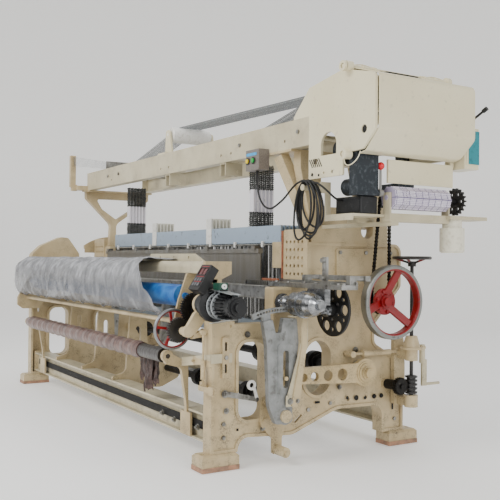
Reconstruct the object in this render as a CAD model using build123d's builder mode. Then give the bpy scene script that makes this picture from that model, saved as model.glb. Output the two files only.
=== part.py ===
from build123d import *
import os
from math import cos, radians, sin, tan

# A wide rapier power loom with an overhead dobby, in millimetres.
# X runs across the cloth, the cloth side faces -Y, and the origin is on the floor
# in the middle of the four floor pads. "Back" is the distance behind the front edge
# of the front pads.

# Side frames, two iron castings
frame_span = 3090
frame_depth = 1344
frame_thick = 80
frame_web = 18
frame_rim = 16
frame_recess = 8
foot_length = 200
foot_width = 110
foot_overhang = 20
foot_height = 54
foot_chamfer = 12
pad_height = 22
floor_bolt_radius = 11
floor_bolt_inset = 28
leg_width = 122
leg_set_back = 55
post_height = 705
shoulder_height = 690
deck_height = 866
deck_front = 400
plate_front = 612
plate_rear = 1236
plate_height = 1094
window_back = 281
window_middle = 412
window_width = 154
window_height = 378
window_corner = 55
oval_back = 677
oval_middle = 450
oval_width = 164
oval_height = 280
cover_pad_raise = 4

# Shafts carried by the side frames, as distance back and height
main_shaft = (1020, 789)
crank_shaft = (925, 420)
lever_pivot = (400, 248)
rocking_shaft = (520, 300)
worm_gear_axis = (1135, 337)
main_shaft_radius = 24
crank_shaft_radius = 20
lever_pin_radius = 16
rocking_radius = 22
worm_gear_shaft_radius = 12
boss_wall = 16
boss_raise = 6
running_gap = 0.3

# Rails and beams between the frames
rail_face_back = 90
rail_depth = 110
rail_bottom = 105
rail_height = 140
rail_lip = 28
rail_wall = 10
slot_count = 20
slot_pitch = 100
slot_length = 46
slot_width = 14
stand_places = (-960, -400, 160)
stand_thick = 24
arch_beam_bottom = 1565
arch_beam_height = 140
arch_beam_depth = 60
arch_beam_wall = 10
arch_beam_left = -1455
arch_front_back = 502
arch_rear_back = 1052
arch_stand_thick = 60

# Cloth side
breast_back = 75
breast_depth = 130
breast_height = 62
breast_top = 992
bracket_thick = 25
take_up_axis = (50, 818)
take_up_radius = 55
take_up_length = 2490
take_up_shaft_radius = 16
guide_rod_axis = (17, 690)
guide_rod_radius = 13
handwheel_axis = (-28, 655)
handwheel_radius = 103
handwheel_grip = 9
handwheel_x = 1290
handwheel_shaft_radius = 12
gear_module = 4
dark_gear_teeth = 30
idler_teeth = 38
gear_width = 18
gear_x = 1346
cloth_axis = (-28, 515)
cloth_tube_radius = 37
cloth_tube_length = 2390
cloth_journal_radius = 12
wrap_radius = 47
wrap_valley = 41
wrap_turns = 17
wrap_left = -1150
wrap_right = 930
film_thick = 3
film_edge_top = 890
motor_flange_radius = 80

# Sley, reed and healds
sley_half = 1320
sley_back = 520
sley_depth = 78
sley_top = 866
sley_height = 72
sword_places = (-900, 0, 900)
sword_thick = 30
reed_half = 1150
reed_top = 1050
reed_back = 570
reed_thick = 6
heald_count = 6
heald_pitch = 26
heald_thick = 12
heald_half = 1215
heald_top = 1195
heald_bottom = 560
heald_stave = 97
heald_side = 24
heald_first_back = 665
heald_slide_gap = 0.4
heald_strips = 12
hanger_places = (-950, 900)
hanger_radius = 3
hanger_top = 1560
lamella_places = (-446, 389)
lamella_height = 1262

# Drive side, layer by layer outside the right frame
rod_layer = 55
rod_thick = 26
big_end_radius = 72
lever_layer = 85
lever_thick = 30
link_layer = 133
link_thick = 12
sector_radius = 527
sector_width = 26
sector_thick = 12
casing_axis = (452, 790)
rapier_wheel_radius = 132
rapier_wheel_x = 1760
rapier_wheel_height = 765
rapier_wheel_back = 600
rapier_wheel_thick = 12
rapier_shaft_radius = 14
rail_plate_thick = 22
rail_plate_front = 502
rail_plate_depth = 95
rail_plate_left = 1335
rail_plate_right = 1960
flywheel_radius = 193
flywheel_rim = 30
hub_disc_radius = 70
flywheel_width = 50
flywheel_layer = 150
sprocket_radius = 54
chain_layer = 73
chain_width = 14
chain_top = (1047, 1330)
let_off_x = 1656
let_off_back = 1215
let_off_shaft_radius = 10
worm_radius = 33
worm_gear_tip = 46
let_off_wheel_radius = 105
let_off_wheel_height = 1020

# Dobby
dobby_front_back = 502
dobby_depth = 615
dobby_left = 1692
dobby_sheet = 14
cover_gap = 1
pattern_x = 2045
pattern_height = 1295
pattern_radius = 50
pattern_length = 350
pattern_front_back = 705
card_sprocket_radius = 68
card_shaft_radius = 12
jar_radius = 60

outer = frame_span / 2
inner = outer - frame_thick
front = -frame_depth / 2
foot_top = pad_height + foot_height
foot_x = outer + foot_overhang - foot_width / 2
gear_distance = gear_module * (dark_gear_teeth + idler_teeth) / 2
idler_angle = 40
idler_axis = (
    handwheel_axis[0] + gear_distance * sin(radians(idler_angle)),
    handwheel_axis[1] + gear_distance * cos(radians(idler_angle)),
)


def write(piece, label):
    """Label a finished piece and write it out."""
    piece.label = label
    export_step(piece, f"parts/{label}.step")


def side_plane(x):
    """A plane square to the machine's width, with Y and Z as its own axes."""
    return Plane.YZ.offset(x)


def cross_plane(distance):
    """A plane along the machine's width, this far back, with X and Z as its own axes."""
    return Plane.XZ.offset(-back(distance))


def back(distance):
    """The Y of a point this far behind the front edge of the front pads."""
    return front + distance


def outline(corners, flat=False):
    """Draw a closed outline from (back, height, corner radius) or (x, height, radius)."""
    points = [(a if flat else back(a), z) for a, z, _ in corners]
    FilletPolyline(points, radius=[r for _, _, r in corners], close=True)


def spot(axis, x=0):
    """The point where an axis across the machine meets the plane at this X."""
    return (x, back(axis[0]), axis[1])


def axle_plane(axis, x):
    """A plane square to an axle that runs across the machine, centred on it."""
    return Plane(origin=spot(axis, x), x_dir=(0, 1, 0), z_dir=(1, 0, 0))


def gear_outline(teeth, module, turn=0):
    """Straight-sided teeth, a little under half a pitch wide at the pitch circle."""
    pitch = teeth * module / 2
    points = []
    for tooth in range(teeth):
        start = turn + 360 * tooth / teeth
        for share, radius in ((-0.3, -1.1), (-0.13, 0.8), (0.13, 0.8), (0.3, -1.1)):
            angle = radians(start + share * 360 / teeth)
            reach = pitch + radius * module
            points.append((reach * cos(angle), reach * sin(angle)))
    Polyline(*points, close=True)


def block(x_limits, back_limits, heights, mode=Mode.ADD):
    """A box given by its limits across, behind the front edge and above the floor."""
    with Locations((sum(x_limits) / 2, back(sum(back_limits) / 2), sum(heights) / 2)):
        Box(
            x_limits[1] - x_limits[0], back_limits[1] - back_limits[0], heights[1] - heights[0],
            mode=mode,
        )


def rod(start, end, radius, mode=Mode.ADD):
    """A round bar from one (x, back, height) to another."""
    first = Vector(start[0], back(start[1]), start[2])
    line = Vector(end[0], back(end[1]), end[2]) - first
    with Locations(Plane(origin=first, z_dir=line)):
        Cylinder(radius, line.length, align=(Align.CENTER, Align.CENTER, Align.MIN), mode=mode)


def side_plate(x, thick, corners, holes=(), mode=Mode.ADD):
    """A plate square to the width, from this X outward, with round holes (back, height, radius)."""
    with BuildSketch(side_plane(x)) as face:
        with BuildLine() as edge:
            outline(corners)
        make_face(edge.edges())
        for distance, height, radius in holes:
            with Locations((back(distance), height)):
                Circle(radius, mode=Mode.SUBTRACT)
    extrude(face.sketch, amount=thick, mode=mode)


def cross_plate(distance, thick, corners, holes=(), mode=Mode.ADD):
    """A plate along the width, from this distance rearward, with holes (x, height, radius)."""
    with BuildSketch(cross_plane(distance)) as face:
        with BuildLine() as edge:
            outline(corners, flat=True)
        make_face(edge.edges())
        for x, height, radius in holes:
            with Locations((x, height)):
                Circle(radius, mode=Mode.SUBTRACT)
    extrude(face.sketch, amount=-thick, mode=mode)


os.makedirs("parts", exist_ok=True)


# Side frames: a rimmed plate with two windows, an arch between the legs and two feet.

frame_corners = [
    (leg_set_back, foot_top, 0),
    (leg_set_back, post_height, 0),
    (leg_set_back + leg_width, post_height, 0),
    (leg_set_back + leg_width, shoulder_height, 0),
    (deck_front, shoulder_height, 20),
    (deck_front, deck_height, 12),
    (plate_front, deck_height, 0),
    (plate_front, plate_height, 0),
    (plate_rear, plate_height, 50),
    (plate_rear, 860, 40),
    (1050, 660, 30),
    (1050, 560, 40),
    (1258, 440, 30),
    (1258, foot_top, 0),
    (1108, foot_top, 0),
    (1108, 224, 60),
    (800, 228, 150),
    (520, 124, 120),
    (215, 142, 55),
    (200, foot_top, 0),
]


def frame_section(inset):
    """The frame's face, drawn in by inset from its edges and from its windows."""
    with BuildLine() as edge:
        outline(frame_corners)
    make_face(edge.edges())
    if inset:
        offset(amount=-inset, kind=Kind.INTERSECTION)
    with Locations((back(window_back), window_middle)):
        RectangleRounded(
            window_width + 2 * inset,
            window_height + 2 * inset,
            window_corner + inset,
            mode=Mode.SUBTRACT,
        )
    with Locations((back(oval_back), oval_middle)):
        SlotOverall(
            oval_height + 2 * inset,
            oval_width + 2 * inset,
            rotation=90,
            mode=Mode.SUBTRACT,
        )


bores = [
    (main_shaft, main_shaft_radius),
    (crank_shaft, crank_shaft_radius),
    (rocking_shaft, rocking_radius),
    (worm_gear_axis, worm_gear_shaft_radius),
]

foot_places = (foot_length / 2, frame_depth - foot_length / 2)

with BuildPart() as foot:
    with Locations((0, 0, pad_height + foot_height / 2)):
        Box(foot_width, foot_length, foot_height)
    chamfer(foot.faces().sort_by(Axis.Z)[-1].edges(), foot_chamfer)

with BuildPart() as right_side_frame:
    with BuildSketch(side_plane(inner)):
        frame_section(0)
    extrude(amount=frame_thick)
    with BuildSketch(side_plane(outer)):
        frame_section(frame_rim)
    extrude(amount=-frame_recess, mode=Mode.SUBTRACT)
    with BuildSketch(side_plane(inner)):
        frame_section(frame_rim)
    extrude(amount=frame_thick - frame_recess - frame_web, mode=Mode.SUBTRACT)
    # Pads that take the rails and the heald end plate
    with BuildSketch(side_plane(inner)):
        for distance in (
            rail_face_back + rail_depth / 2, frame_depth - rail_face_back - rail_depth / 2,
        ):
            with Locations((back(distance), rail_bottom + rail_height / 2)):
                Rectangle(rail_depth + 6, rail_height + 20)
    extrude(amount=frame_thick - frame_recess)
    # Raised pad of the bearing cover on the tall plate
    with BuildSketch(side_plane(outer - frame_recess)):
        with Locations((back(982), 965)):
            RectangleRounded(384, 200, 14)
    extrude(amount=frame_recess + cover_pad_raise)
    # Slotted pad on the front post
    with BuildSketch(side_plane(outer - frame_recess)):
        with Locations((back(leg_set_back + leg_width / 2 + 12), 532)):
            Rectangle(36, 190)
    extrude(amount=frame_recess + 8)
    for axis, radius in bores:
        with BuildSketch(side_plane(inner)):
            with Locations((back(axis[0]), axis[1])):
                Circle(radius + boss_wall)
        extrude(amount=frame_thick + boss_raise)
    for axis, radius in bores:
        with Locations(spot(axis, outer)):
            Cylinder(radius + running_gap, 3 * frame_thick, rotation=(0, 90, 0), mode=Mode.SUBTRACT)
    # Keyholes in the post, holes and slots in the lower chord and the rear leg
    with BuildSketch(side_plane(inner)):
        for height in (586, 482):
            with Locations((back(leg_set_back + leg_width / 2 + 12), height)):
                SlotOverall(44, 13, rotation=90)
        for distance, radius in ((880, 10), (940, 13), (1000, 10), (1062, 14)):
            with Locations((back(distance), 272)):
                Circle(radius)
        with Locations((back(1190), 232)):
            SlotOverall(50, 12, rotation=90)
        with Locations((back(560), 200)):
            SlotOverall(56, 13, rotation=40)
    extrude(amount=frame_thick + 20, mode=Mode.SUBTRACT)
    with Locations(*[(foot_x, back(distance)) for distance in foot_places]):
        add(foot.part)
    for distance in (floor_bolt_inset, frame_depth - floor_bolt_inset):
        with Locations((foot_x, back(distance), pad_height + foot_height / 2)):
            Cylinder(floor_bolt_radius, 2 * foot_height, mode=Mode.SUBTRACT)
write(right_side_frame.part, "right_side_frame")

with BuildPart() as left_side_frame:
    add(mirror(right_side_frame.part, about=Plane.YZ))
write(left_side_frame.part, "left_side_frame")

with BuildPart() as foot_pads:
    with BuildSketch():
        with GridLocations(2 * foot_x, frame_depth - foot_length, 2, 2):
            RectangleRounded(foot_width + 8, foot_length + 6, 6)
        with GridLocations(2 * foot_x, frame_depth - 2 * floor_bolt_inset, 2, 2):
            Circle(floor_bolt_radius, mode=Mode.SUBTRACT)
    extrude(amount=pad_height)
write(foot_pads.part, "foot_pads")


# Rails across the floor: open sections bolted between the frames. The front one is slotted.

def rail_section(face, toward):
    """Two flanges and a web, its face this far back and its flanges running toward the rear."""
    middle = rail_bottom + rail_height / 2
    with Locations((back(face + toward * rail_depth / 2), middle)):
        Rectangle(rail_depth, rail_height)
    with Locations((back(face + toward * rail_lip / 2), middle)):
        Rectangle(rail_lip, rail_height - 2 * rail_wall, mode=Mode.SUBTRACT)
    rear_depth = rail_depth - rail_lip - rail_wall
    with Locations((back(face + toward * (rail_depth - rear_depth / 2)), middle)):
        Rectangle(rear_depth, rail_height - 2 * rail_wall, mode=Mode.SUBTRACT)


with BuildPart() as front_lower_rail:
    with BuildSketch(side_plane(-inner)):
        rail_section(rail_face_back, 1)
    extrude(amount=2 * inner)
    with BuildSketch(cross_plane(rail_face_back)):
        with Locations((-60, rail_bottom + rail_height / 2 + 6)):
            with GridLocations(slot_pitch, 0, slot_count, 1):
                SlotOverall(slot_length, slot_width)
    extrude(amount=-(rail_lip + 2 * rail_wall), mode=Mode.SUBTRACT)
write(front_lower_rail.part, "front_lower_rail")

with BuildPart() as rear_lower_rail:
    with BuildSketch(side_plane(-inner)):
        rail_section(frame_depth - rail_face_back, -1)
    extrude(amount=2 * inner)
write(rear_lower_rail.part, "rear_lower_rail")

# Inner stands: castings on the front rail that carry the rocking shaft between the frames.

rail_top = rail_bottom + rail_height
stand_corners = [
    (rail_face_back + 8, rail_top, 0),
    (rail_face_back + 8, rail_top + 20, 8),
    (rail_face_back + 96, rail_top + 45, 40),
    (212, 640, 8),
    (322, 655, 8),
    (336, 345, 70),
    (480, 345, 0),
    (rocking_shaft[0] + 46, rocking_shaft[1] + 4, 20),
    (556, 235, 40),
    (430, 178, 80),
    (262, 188, 50),
    (rail_face_back + rail_depth + 4, rail_top, 0),
]

with BuildPart() as centre_stands:
    for place in stand_places:
        with BuildSketch(side_plane(place)):
            with BuildLine() as edge:
                outline(stand_corners)
            make_face(edge.edges())
            with Locations((back(rocking_shaft[0]), rocking_shaft[1])):
                Circle(rocking_radius + boss_wall + 6)
                Circle(rocking_radius + running_gap, mode=Mode.SUBTRACT)
            with Locations((back(267), 480)):
                SlotOverall(190, 34, rotation=90, mode=Mode.SUBTRACT)
        extrude(amount=stand_thick)
write(centre_stands.part, "centre_stands")

# Breast beam with its nose to the weaver, the strip on it and the guide rod below.

breast_bottom = breast_top - breast_height
take_up_half = take_up_length / 2
inner_bracket_x = take_up_half + 5

with BuildPart() as breast_beam:
    with BuildSketch(side_plane(-inner + bracket_thick)):
        with BuildLine() as edge:
            outline([
                (breast_back, breast_bottom, 6),
                (breast_back, breast_top, breast_height / 2),
                (breast_back + breast_depth, breast_top, 4),
                (breast_back + breast_depth, breast_bottom, 0),
            ])
        make_face(edge.edges())
        with Locations(
            (back(breast_back + breast_depth / 2 + 6), breast_bottom + breast_height / 2 - 8),
        ):
            Rectangle(breast_depth - 36, breast_height - 16, mode=Mode.SUBTRACT)
    extrude(amount=2 * (inner - bracket_thick))
    with BuildSketch(cross_plane(breast_back + breast_depth - 12)):
        with BuildLine() as edge:
            outline([
                (480, breast_top, 0),
                (530, breast_top + 40, 10),
                (1080, breast_top + 40, 10),
                (1190, breast_top, 0),
            ], flat=True)
        make_face(edge.edges())
        with Locations((840, breast_top + 20)):
            with GridLocations(180, 0, 3, 1):
                Circle(7, mode=Mode.SUBTRACT)
    extrude(amount=-12)
write(breast_beam.part, "breast_beam")

# Take-up brackets: outer plates on the frames, an inner plate at the gears and the guide rod.

plate_corners = [
    (-62, 632, 14),
    (-62, 690, 30),
    (breast_back - 20, 900, 30),
    (breast_back - 20, breast_top, 12),
    (breast_back + breast_depth + 14, breast_top, 12),
    (breast_back + breast_depth + 14, 800, 30),
    (120, 600, 20),
    (-20, 600, 20),
]
inner_corners = [
    (guide_rod_axis[0] - 18, guide_rod_axis[1] - 22, 12),
    (guide_rod_axis[0] - 18, guide_rod_axis[1] + 30, 8),
    (take_up_axis[0] - 34, take_up_axis[1] - 20, 10),
    (breast_back - 12, breast_bottom, 0),
    (breast_back + 70, breast_bottom, 0),
    (take_up_axis[0] + 46, take_up_axis[1] - 40, 20),
    (guide_rod_axis[0] + 20, guide_rod_axis[1] - 22, 12),
]

with BuildPart() as take_up_brackets:
    for x, axes in ((-inner, (take_up_axis,)), (inner - bracket_thick, (handwheel_axis, idler_axis))):
        with BuildSketch(side_plane(x)):
            with BuildLine() as edge:
                outline(plate_corners)
            make_face(edge.edges())
            for axis in axes:
                radius = take_up_shaft_radius if axis is take_up_axis else handwheel_shaft_radius
                with Locations((back(axis[0]), axis[1])):
                    Circle(radius + running_gap, mode=Mode.SUBTRACT)
        extrude(amount=bracket_thick)
    with BuildSketch(side_plane(inner_bracket_x)):
        with BuildLine() as edge:
            outline(inner_corners)
        make_face(edge.edges())
        with Locations((back(take_up_axis[0]), take_up_axis[1])):
            Circle(take_up_shaft_radius + running_gap, mode=Mode.SUBTRACT)
    extrude(amount=14)
    with Locations((
        (inner_bracket_x - inner + bracket_thick) / 2, back(guide_rod_axis[0]), guide_rod_axis[1],
    )):
        Cylinder(guide_rod_radius, inner_bracket_x + inner - bracket_thick, rotation=(0, 90, 0))
write(take_up_brackets.part, "take_up_brackets")

# Take-up roller, blue rubber on a steel tube

with BuildPart() as take_up_roller:
    with Locations(spot(take_up_axis)):
        Cylinder(take_up_radius, take_up_length, rotation=(0, 90, 0))
        chamfer(take_up_roller.edges().filter_by(GeomType.CIRCLE), 3)
    left_end = -inner
    right_end = inner_bracket_x + 26
    with Locations(((left_end + right_end) / 2, back(take_up_axis[0]), take_up_axis[1])):
        Cylinder(take_up_shaft_radius, right_end - left_end, rotation=(0, 90, 0))
write(take_up_roller.part, "take_up_roller")

# Handwheel with five spokes, its shaft and the dark gear that turns with it

with BuildPart() as take_up_handwheel:
    rim_centre = handwheel_radius - handwheel_grip
    with Locations(spot(handwheel_axis, handwheel_x)):
        Torus(rim_centre, handwheel_grip, rotation=(0, 90, 0))
        Cylinder(20, 26, rotation=(0, 90, 0))
    with BuildSketch(side_plane(handwheel_x - 5)):
        with Locations((back(handwheel_axis[0]), handwheel_axis[1])):
            with PolarLocations(rim_centre / 2, 5, start_angle=100):
                Rectangle(rim_centre, 13)
    extrude(amount=10)
    shaft_end = inner - 1
    with Locations(spot(handwheel_axis, (handwheel_x + shaft_end) / 2)):
        Cylinder(handwheel_shaft_radius, shaft_end - handwheel_x, rotation=(0, 90, 0))
    with BuildSketch(axle_plane(handwheel_axis, gear_x)):
        with BuildLine() as edge:
            gear_outline(dark_gear_teeth, gear_module)
        make_face(edge.edges())
    extrude(amount=gear_width)
write(take_up_handwheel.part, "take_up_handwheel")

# The idler is turned so that its teeth fall in the dark gear's gaps.
mesh_direction = 90 - idler_angle
idler_turn = 180 + mesh_direction + (mesh_direction * dark_gear_teeth / 360 - 0.5) * 360 / idler_teeth

with BuildPart() as idler_gear:
    with BuildSketch(axle_plane(idler_axis, gear_x)):
        with BuildLine() as edge:
            gear_outline(idler_teeth, gear_module, idler_turn)
        make_face(edge.edges())
    extrude(amount=gear_width)
    with Locations(spot(idler_axis, gear_x + gear_width)):
        Cylinder(
            26, gear_width + 12, rotation=(0, 90, 0), align=(Align.CENTER, Align.CENTER, Align.MIN),
        )
    with Locations(spot(idler_axis, (gear_x + shaft_end) / 2)):
        Cylinder(handwheel_shaft_radius, shaft_end - gear_x, rotation=(0, 90, 0))
    with Locations(spot(idler_axis, gear_x)):
        Cylinder(16, gear_width, rotation=(0, 90, 0), mode=Mode.SUBTRACT)
write(idler_gear.part, "idler_gear")


# Cloth roller in its two bearings on the front rail, with the wrapping it was shipped in

bearing_x = cloth_tube_length / 2 + 20
bearing_thick = 25
bearing_corners = [
    (rail_face_back - 12, rail_bottom + 8, 4),
    (rail_face_back - 12, 270, 20),
    (48, 452, 30),
    (cloth_axis[0] - 10, cloth_axis[1] - 40, 20),
    (cloth_axis[0] - 26, cloth_axis[1], 0),
    (cloth_axis[0] + 26, cloth_axis[1] + 8, 20),
    (86, 478, 20),
    (rail_face_back, 270, 0),
    (rail_face_back, rail_bottom + 8, 0),
]

with BuildPart() as cloth_roller_brackets:
    for x in (-bearing_x - bearing_thick, bearing_x):
        with BuildSketch(side_plane(x)):
            with BuildLine() as edge:
                outline(bearing_corners)
            make_face(edge.edges())
            with Locations((back(cloth_axis[0]), cloth_axis[1])):
                Circle(30)
                Circle(cloth_journal_radius + running_gap, mode=Mode.SUBTRACT)
        extrude(amount=bearing_thick)
        with Locations((
            x + bearing_thick / 2, back(rail_face_back) - 6, rail_bottom + rail_height / 2 - 4,
        )):
            Box(110, 12, rail_height - 24)
write(cloth_roller_brackets.part, "cloth_roller_brackets")

with BuildPart() as cloth_roller:
    with Locations(spot(cloth_axis)):
        Cylinder(cloth_tube_radius, cloth_tube_length, rotation=(0, 90, 0))
        Cylinder(cloth_journal_radius, 2 * (bearing_x + bearing_thick), rotation=(0, 90, 0))
    # Wrapping film wound round the tube: one ridge for each turn
    with BuildSketch(cross_plane(cloth_axis[0])):
        turn = (wrap_right - wrap_left) / wrap_turns
        points = [(wrap_left, cloth_axis[1])]
        for count in range(wrap_turns):
            start = wrap_left + count * turn
            points.append((start, cloth_axis[1] + wrap_valley))
            points.append((start + 0.45 * turn, cloth_axis[1] + wrap_radius))
        points.append((wrap_right, cloth_axis[1] + wrap_valley))
        points.append((wrap_right, cloth_axis[1]))
        with BuildLine():
            Polyline(*points, close=True)
        make_face()
    revolve(axis=Axis(spot(cloth_axis), (1, 0, 0)))
write(cloth_roller.part, "cloth_roller")

# Shipping film laid over the breast beam and hanging in front of the take-up roller

film_gap = 0.4
film_line = [
    (breast_back + breast_depth - 16, breast_top + film_thick / 2 + film_gap),
    (breast_back + 40, breast_top + film_thick / 2 + film_gap),
    (0, 994),
    (-50, 962),
    (-76, 890),
    (-68, 790),
    (-40, 738),
    (-4, 722),
]
with BuildPart() as protective_film:
    with BuildSketch(side_plane(-inner + bracket_thick + 4)):
        with BuildLine() as edge:
            FilletPolyline([(back(u), z) for u, z in film_line], radius=[60, 50, 60, 60, 70, 40])
        trace(edge.edges(), line_width=film_thick)
    extrude(amount=2 * inner)
    with BuildSketch(cross_plane(breast_back + breast_depth + 10)):
        with BuildLine():
            Polyline(
                (film_edge_top, 1040), (film_edge_top, 994), (1180, 770), (1230, 700), (inner + 600, 700),
                (inner + 600, 1040),
                close=True,
            )
        make_face()
    extrude(amount=2 * breast_depth + 100, mode=Mode.SUBTRACT)
write(protective_film.part, "protective_film")

# Take-up motor: gear flange, ribbed body and nose

motor_axis = (50, 786)
motor_neck_radius = 50
motor_profile = [
    (inner, 0), (inner, motor_neck_radius), (outer + 5, motor_neck_radius),
    (outer + 5, motor_flange_radius), (outer + 30, motor_flange_radius), (outer + 42, 52),
    (outer + 180, 44), (outer + 250, 38), (outer + 250, 22), (outer + 266, 22), (outer + 266, 0),
]
fin_count = 18

with BuildPart() as take_up_motor:
    with BuildSketch(cross_plane(motor_axis[0])):
        with BuildLine():
            Polyline(*[(x, motor_axis[1] + r) for x, r in motor_profile], close=True)
        make_face()
    revolve(axis=Axis(spot(motor_axis), (1, 0, 0)))
    with BuildSketch(axle_plane(motor_axis, outer + 36)):
        with PolarLocations(48, fin_count):
            Rectangle(22, 4)
    extrude(amount=150)
    block(
        (outer + 60, outer + 120), (motor_axis[0] - 20, motor_axis[0] + 20),
        (motor_axis[1], motor_axis[1] + 74),
    )
    for x in (outer + 70, outer + 110):
        with Locations(spot(motor_axis, x)):
            Cylinder(63, 6, rotation=(0, 90, 0))
write(take_up_motor.part, "take_up_motor")

# Keypad box of the take-up, leaning back over the motor's neck

box_lean = 33
box_size = (100, 138, 45)
box_foot = (outer + 3, -51.5, 861)

with BuildPart() as keypad_box:
    slope = (0, sin(radians(box_lean)), cos(radians(box_lean)))
    inward = (0, cos(radians(box_lean)), -sin(radians(box_lean)))
    box_face = Plane(origin=(box_foot[0], back(box_foot[1]), box_foot[2]), x_dir=slope, z_dir=inward)
    with BuildSketch(box_face):
        with Locations((box_size[1] / 2, 0)):
            RectangleRounded(box_size[1], box_size[0], 5)
    extrude(amount=box_size[2])
    with BuildSketch(box_face.offset(box_size[2])):
        with Locations((box_size[1] / 2 - 14, -27)):
            Rectangle(52, 40)
    extrude(amount=66)
    with Locations(spot(motor_axis, inner)):
        Cylinder(
            motor_neck_radius + running_gap, 2 * frame_thick, rotation=(0, 90, 0), mode=Mode.SUBTRACT,
        )
    # Display window and two rows of keys
    with BuildSketch(box_face):
        with Locations((100, 0)):
            Rectangle(40, 70)
    extrude(amount=3, mode=Mode.SUBTRACT)
    with BuildSketch(box_face):
        with Locations((42, 0)):
            with GridLocations(26, 24, 2, 3):
                RectangleRounded(17, 17, 3)
    extrude(amount=-2.5)
write(keypad_box.part, "keypad_box")

# Turnbuckle linkage on the front post, between the take-up and the strap across the post

buckle = (outer - 45, leg_set_back - 23)

with BuildPart() as take_up_linkage:
    rod((*buckle, 395), (*buckle, 640), 5)
    rod((*buckle, 430), (*buckle, 520), 11)
    block((buckle[0] - 12, buckle[0] + 12), (buckle[1] - 10, buckle[1] + 10), (375, 420))
    with Locations((buckle[0], back(buckle[1]), 652)):
        Cylinder(13, 14, rotation=(0, 90, 0))
    for height in (395, 655):
        rod((buckle[0], leg_set_back, height), (*buckle, height), 7)
    block((inner, buckle[0]), (buckle[1] - 5, buckle[1] + 5), (647, 663))
    block((inner - 85, outer), (leg_set_back - 8, leg_set_back), (490, 520))
    with Locations((inner - 85, back(leg_set_back - 4), 505)):
        Cylinder(22, 8, rotation=(90, 0, 0))
    rod((inner - 85, leg_set_back - 22, 505), (inner - 85, leg_set_back, 505), 6)
    # Horizontal link with its clevis at the foot of the turnbuckle
    block((buckle[0] - 6, outer + 110), (buckle[1] - 22, buckle[1] - 10), (380, 404))
    block((outer + 60, outer + 105), (buckle[1] - 26, buckle[1] - 6), (372, 412))
write(take_up_linkage.part, "take_up_linkage")


# Sley: a beam on three swords round the rocking shaft, with the reed on it

beam_bottom = sley_top - sley_height
sword_corners = [
    (rocking_shaft[0] - 30, rocking_shaft[1], 0),
    (sley_back + 8, beam_bottom + 4, 0),
    (sley_back + 60, beam_bottom + 4, 0),
    (rocking_shaft[0] + 30, rocking_shaft[1], 0),
]
tooth_pitch = 18

with BuildPart() as sley:
    with Locations(spot(rocking_shaft)):
        Cylinder(rocking_radius, frame_span, rotation=(0, 90, 0))
    for place in sword_places:
        side_plate(place - sword_thick / 2, sword_thick, sword_corners)
        with Locations(spot(rocking_shaft, place)):
            Cylinder(42, sword_thick + 20, rotation=(0, 90, 0))
    with BuildSketch(side_plane(-sley_half)):
        with BuildLine() as edge:
            outline([
                (sley_back, beam_bottom, 6),
                (sley_back, sley_top, 6),
                (sley_back + sley_depth, sley_top, 0),
                (sley_back + sley_depth, beam_bottom + 40, 0),
                (sley_back + sley_depth - 26, beam_bottom, 6),
            ])
        make_face(edge.edges())
    extrude(amount=2 * sley_half)
    # Row of guide teeth at the mouth of each rapier's path
    with Locations((0, back(sley_back + 18), sley_top + 13)):
        for middle in (-1181, 1181):
            with Locations((middle, 0, 0)):
                with GridLocations(tooth_pitch, 0, 14, 1):
                    Box(5, 22, 26)
write(sley.part, "sley")

with BuildPart() as reed:
    block(
        (-reed_half, reed_half), (reed_back - reed_thick / 2, reed_back + reed_thick / 2),
        (sley_top, reed_top),
    )
    block((-reed_half, reed_half), (reed_back - 15, reed_back + 15), (reed_top - 10, reed_top + 14))
    block((-reed_half, reed_half), (reed_back - 9, reed_back + 9), (sley_top, sley_top + 16))
    for x in (-1100, -550, 0, 550, 1100):
        block((x - 20, x + 20), (reed_back - 20, reed_back + 20), (reed_top + 4, reed_top + 30))
write(reed.part, "reed")


# Heald frames: two staves and two side struts, their hangers above and heddles between

heald_middle = (heald_top + heald_bottom) / 2
heald_inside = heald_top - heald_bottom - 2 * heald_stave
heald_places = [heald_first_back + heald_pitch * count for count in range(heald_count)]

for number, place in enumerate(heald_places, 1):
    with BuildPart() as heald_frame:
        with BuildSketch(cross_plane(place - heald_thick / 2)):
            with Locations((0, heald_middle)):
                Rectangle(2 * heald_half, heald_top - heald_bottom)
                Rectangle(2 * (heald_half - heald_side), heald_inside, mode=Mode.SUBTRACT)
        extrude(amount=-heald_thick)
        with BuildSketch(cross_plane(place - 1.5)):
            with Locations((0, heald_middle)):
                with GridLocations(2 * heald_half / (heald_strips + 1), 0, heald_strips, 1):
                    Rectangle(14, heald_inside + 2)
        extrude(amount=-3)
        for x in hanger_places:
            for side in (-18, 0, 18):
                rod((x + side, place, heald_top - 2), (x + side, place, hanger_top), hanger_radius)
            block((x - 24, x + 24), (place - 4, place + 4), (1280, 1415))
        for x in lamella_places:
            block((x - 34, x + 34), (place - 4, place + 4), (heald_top - 1, lamella_height))
    write(heald_frame.part, f"heald_frame_{number}")

# Guides for the ends of the heald frames: a slotted block behind an end plate, on each side

guide_left = heald_half - 10
guide_back = (plate_front, heald_places[-1] + heald_thick / 2 + 14)

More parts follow.
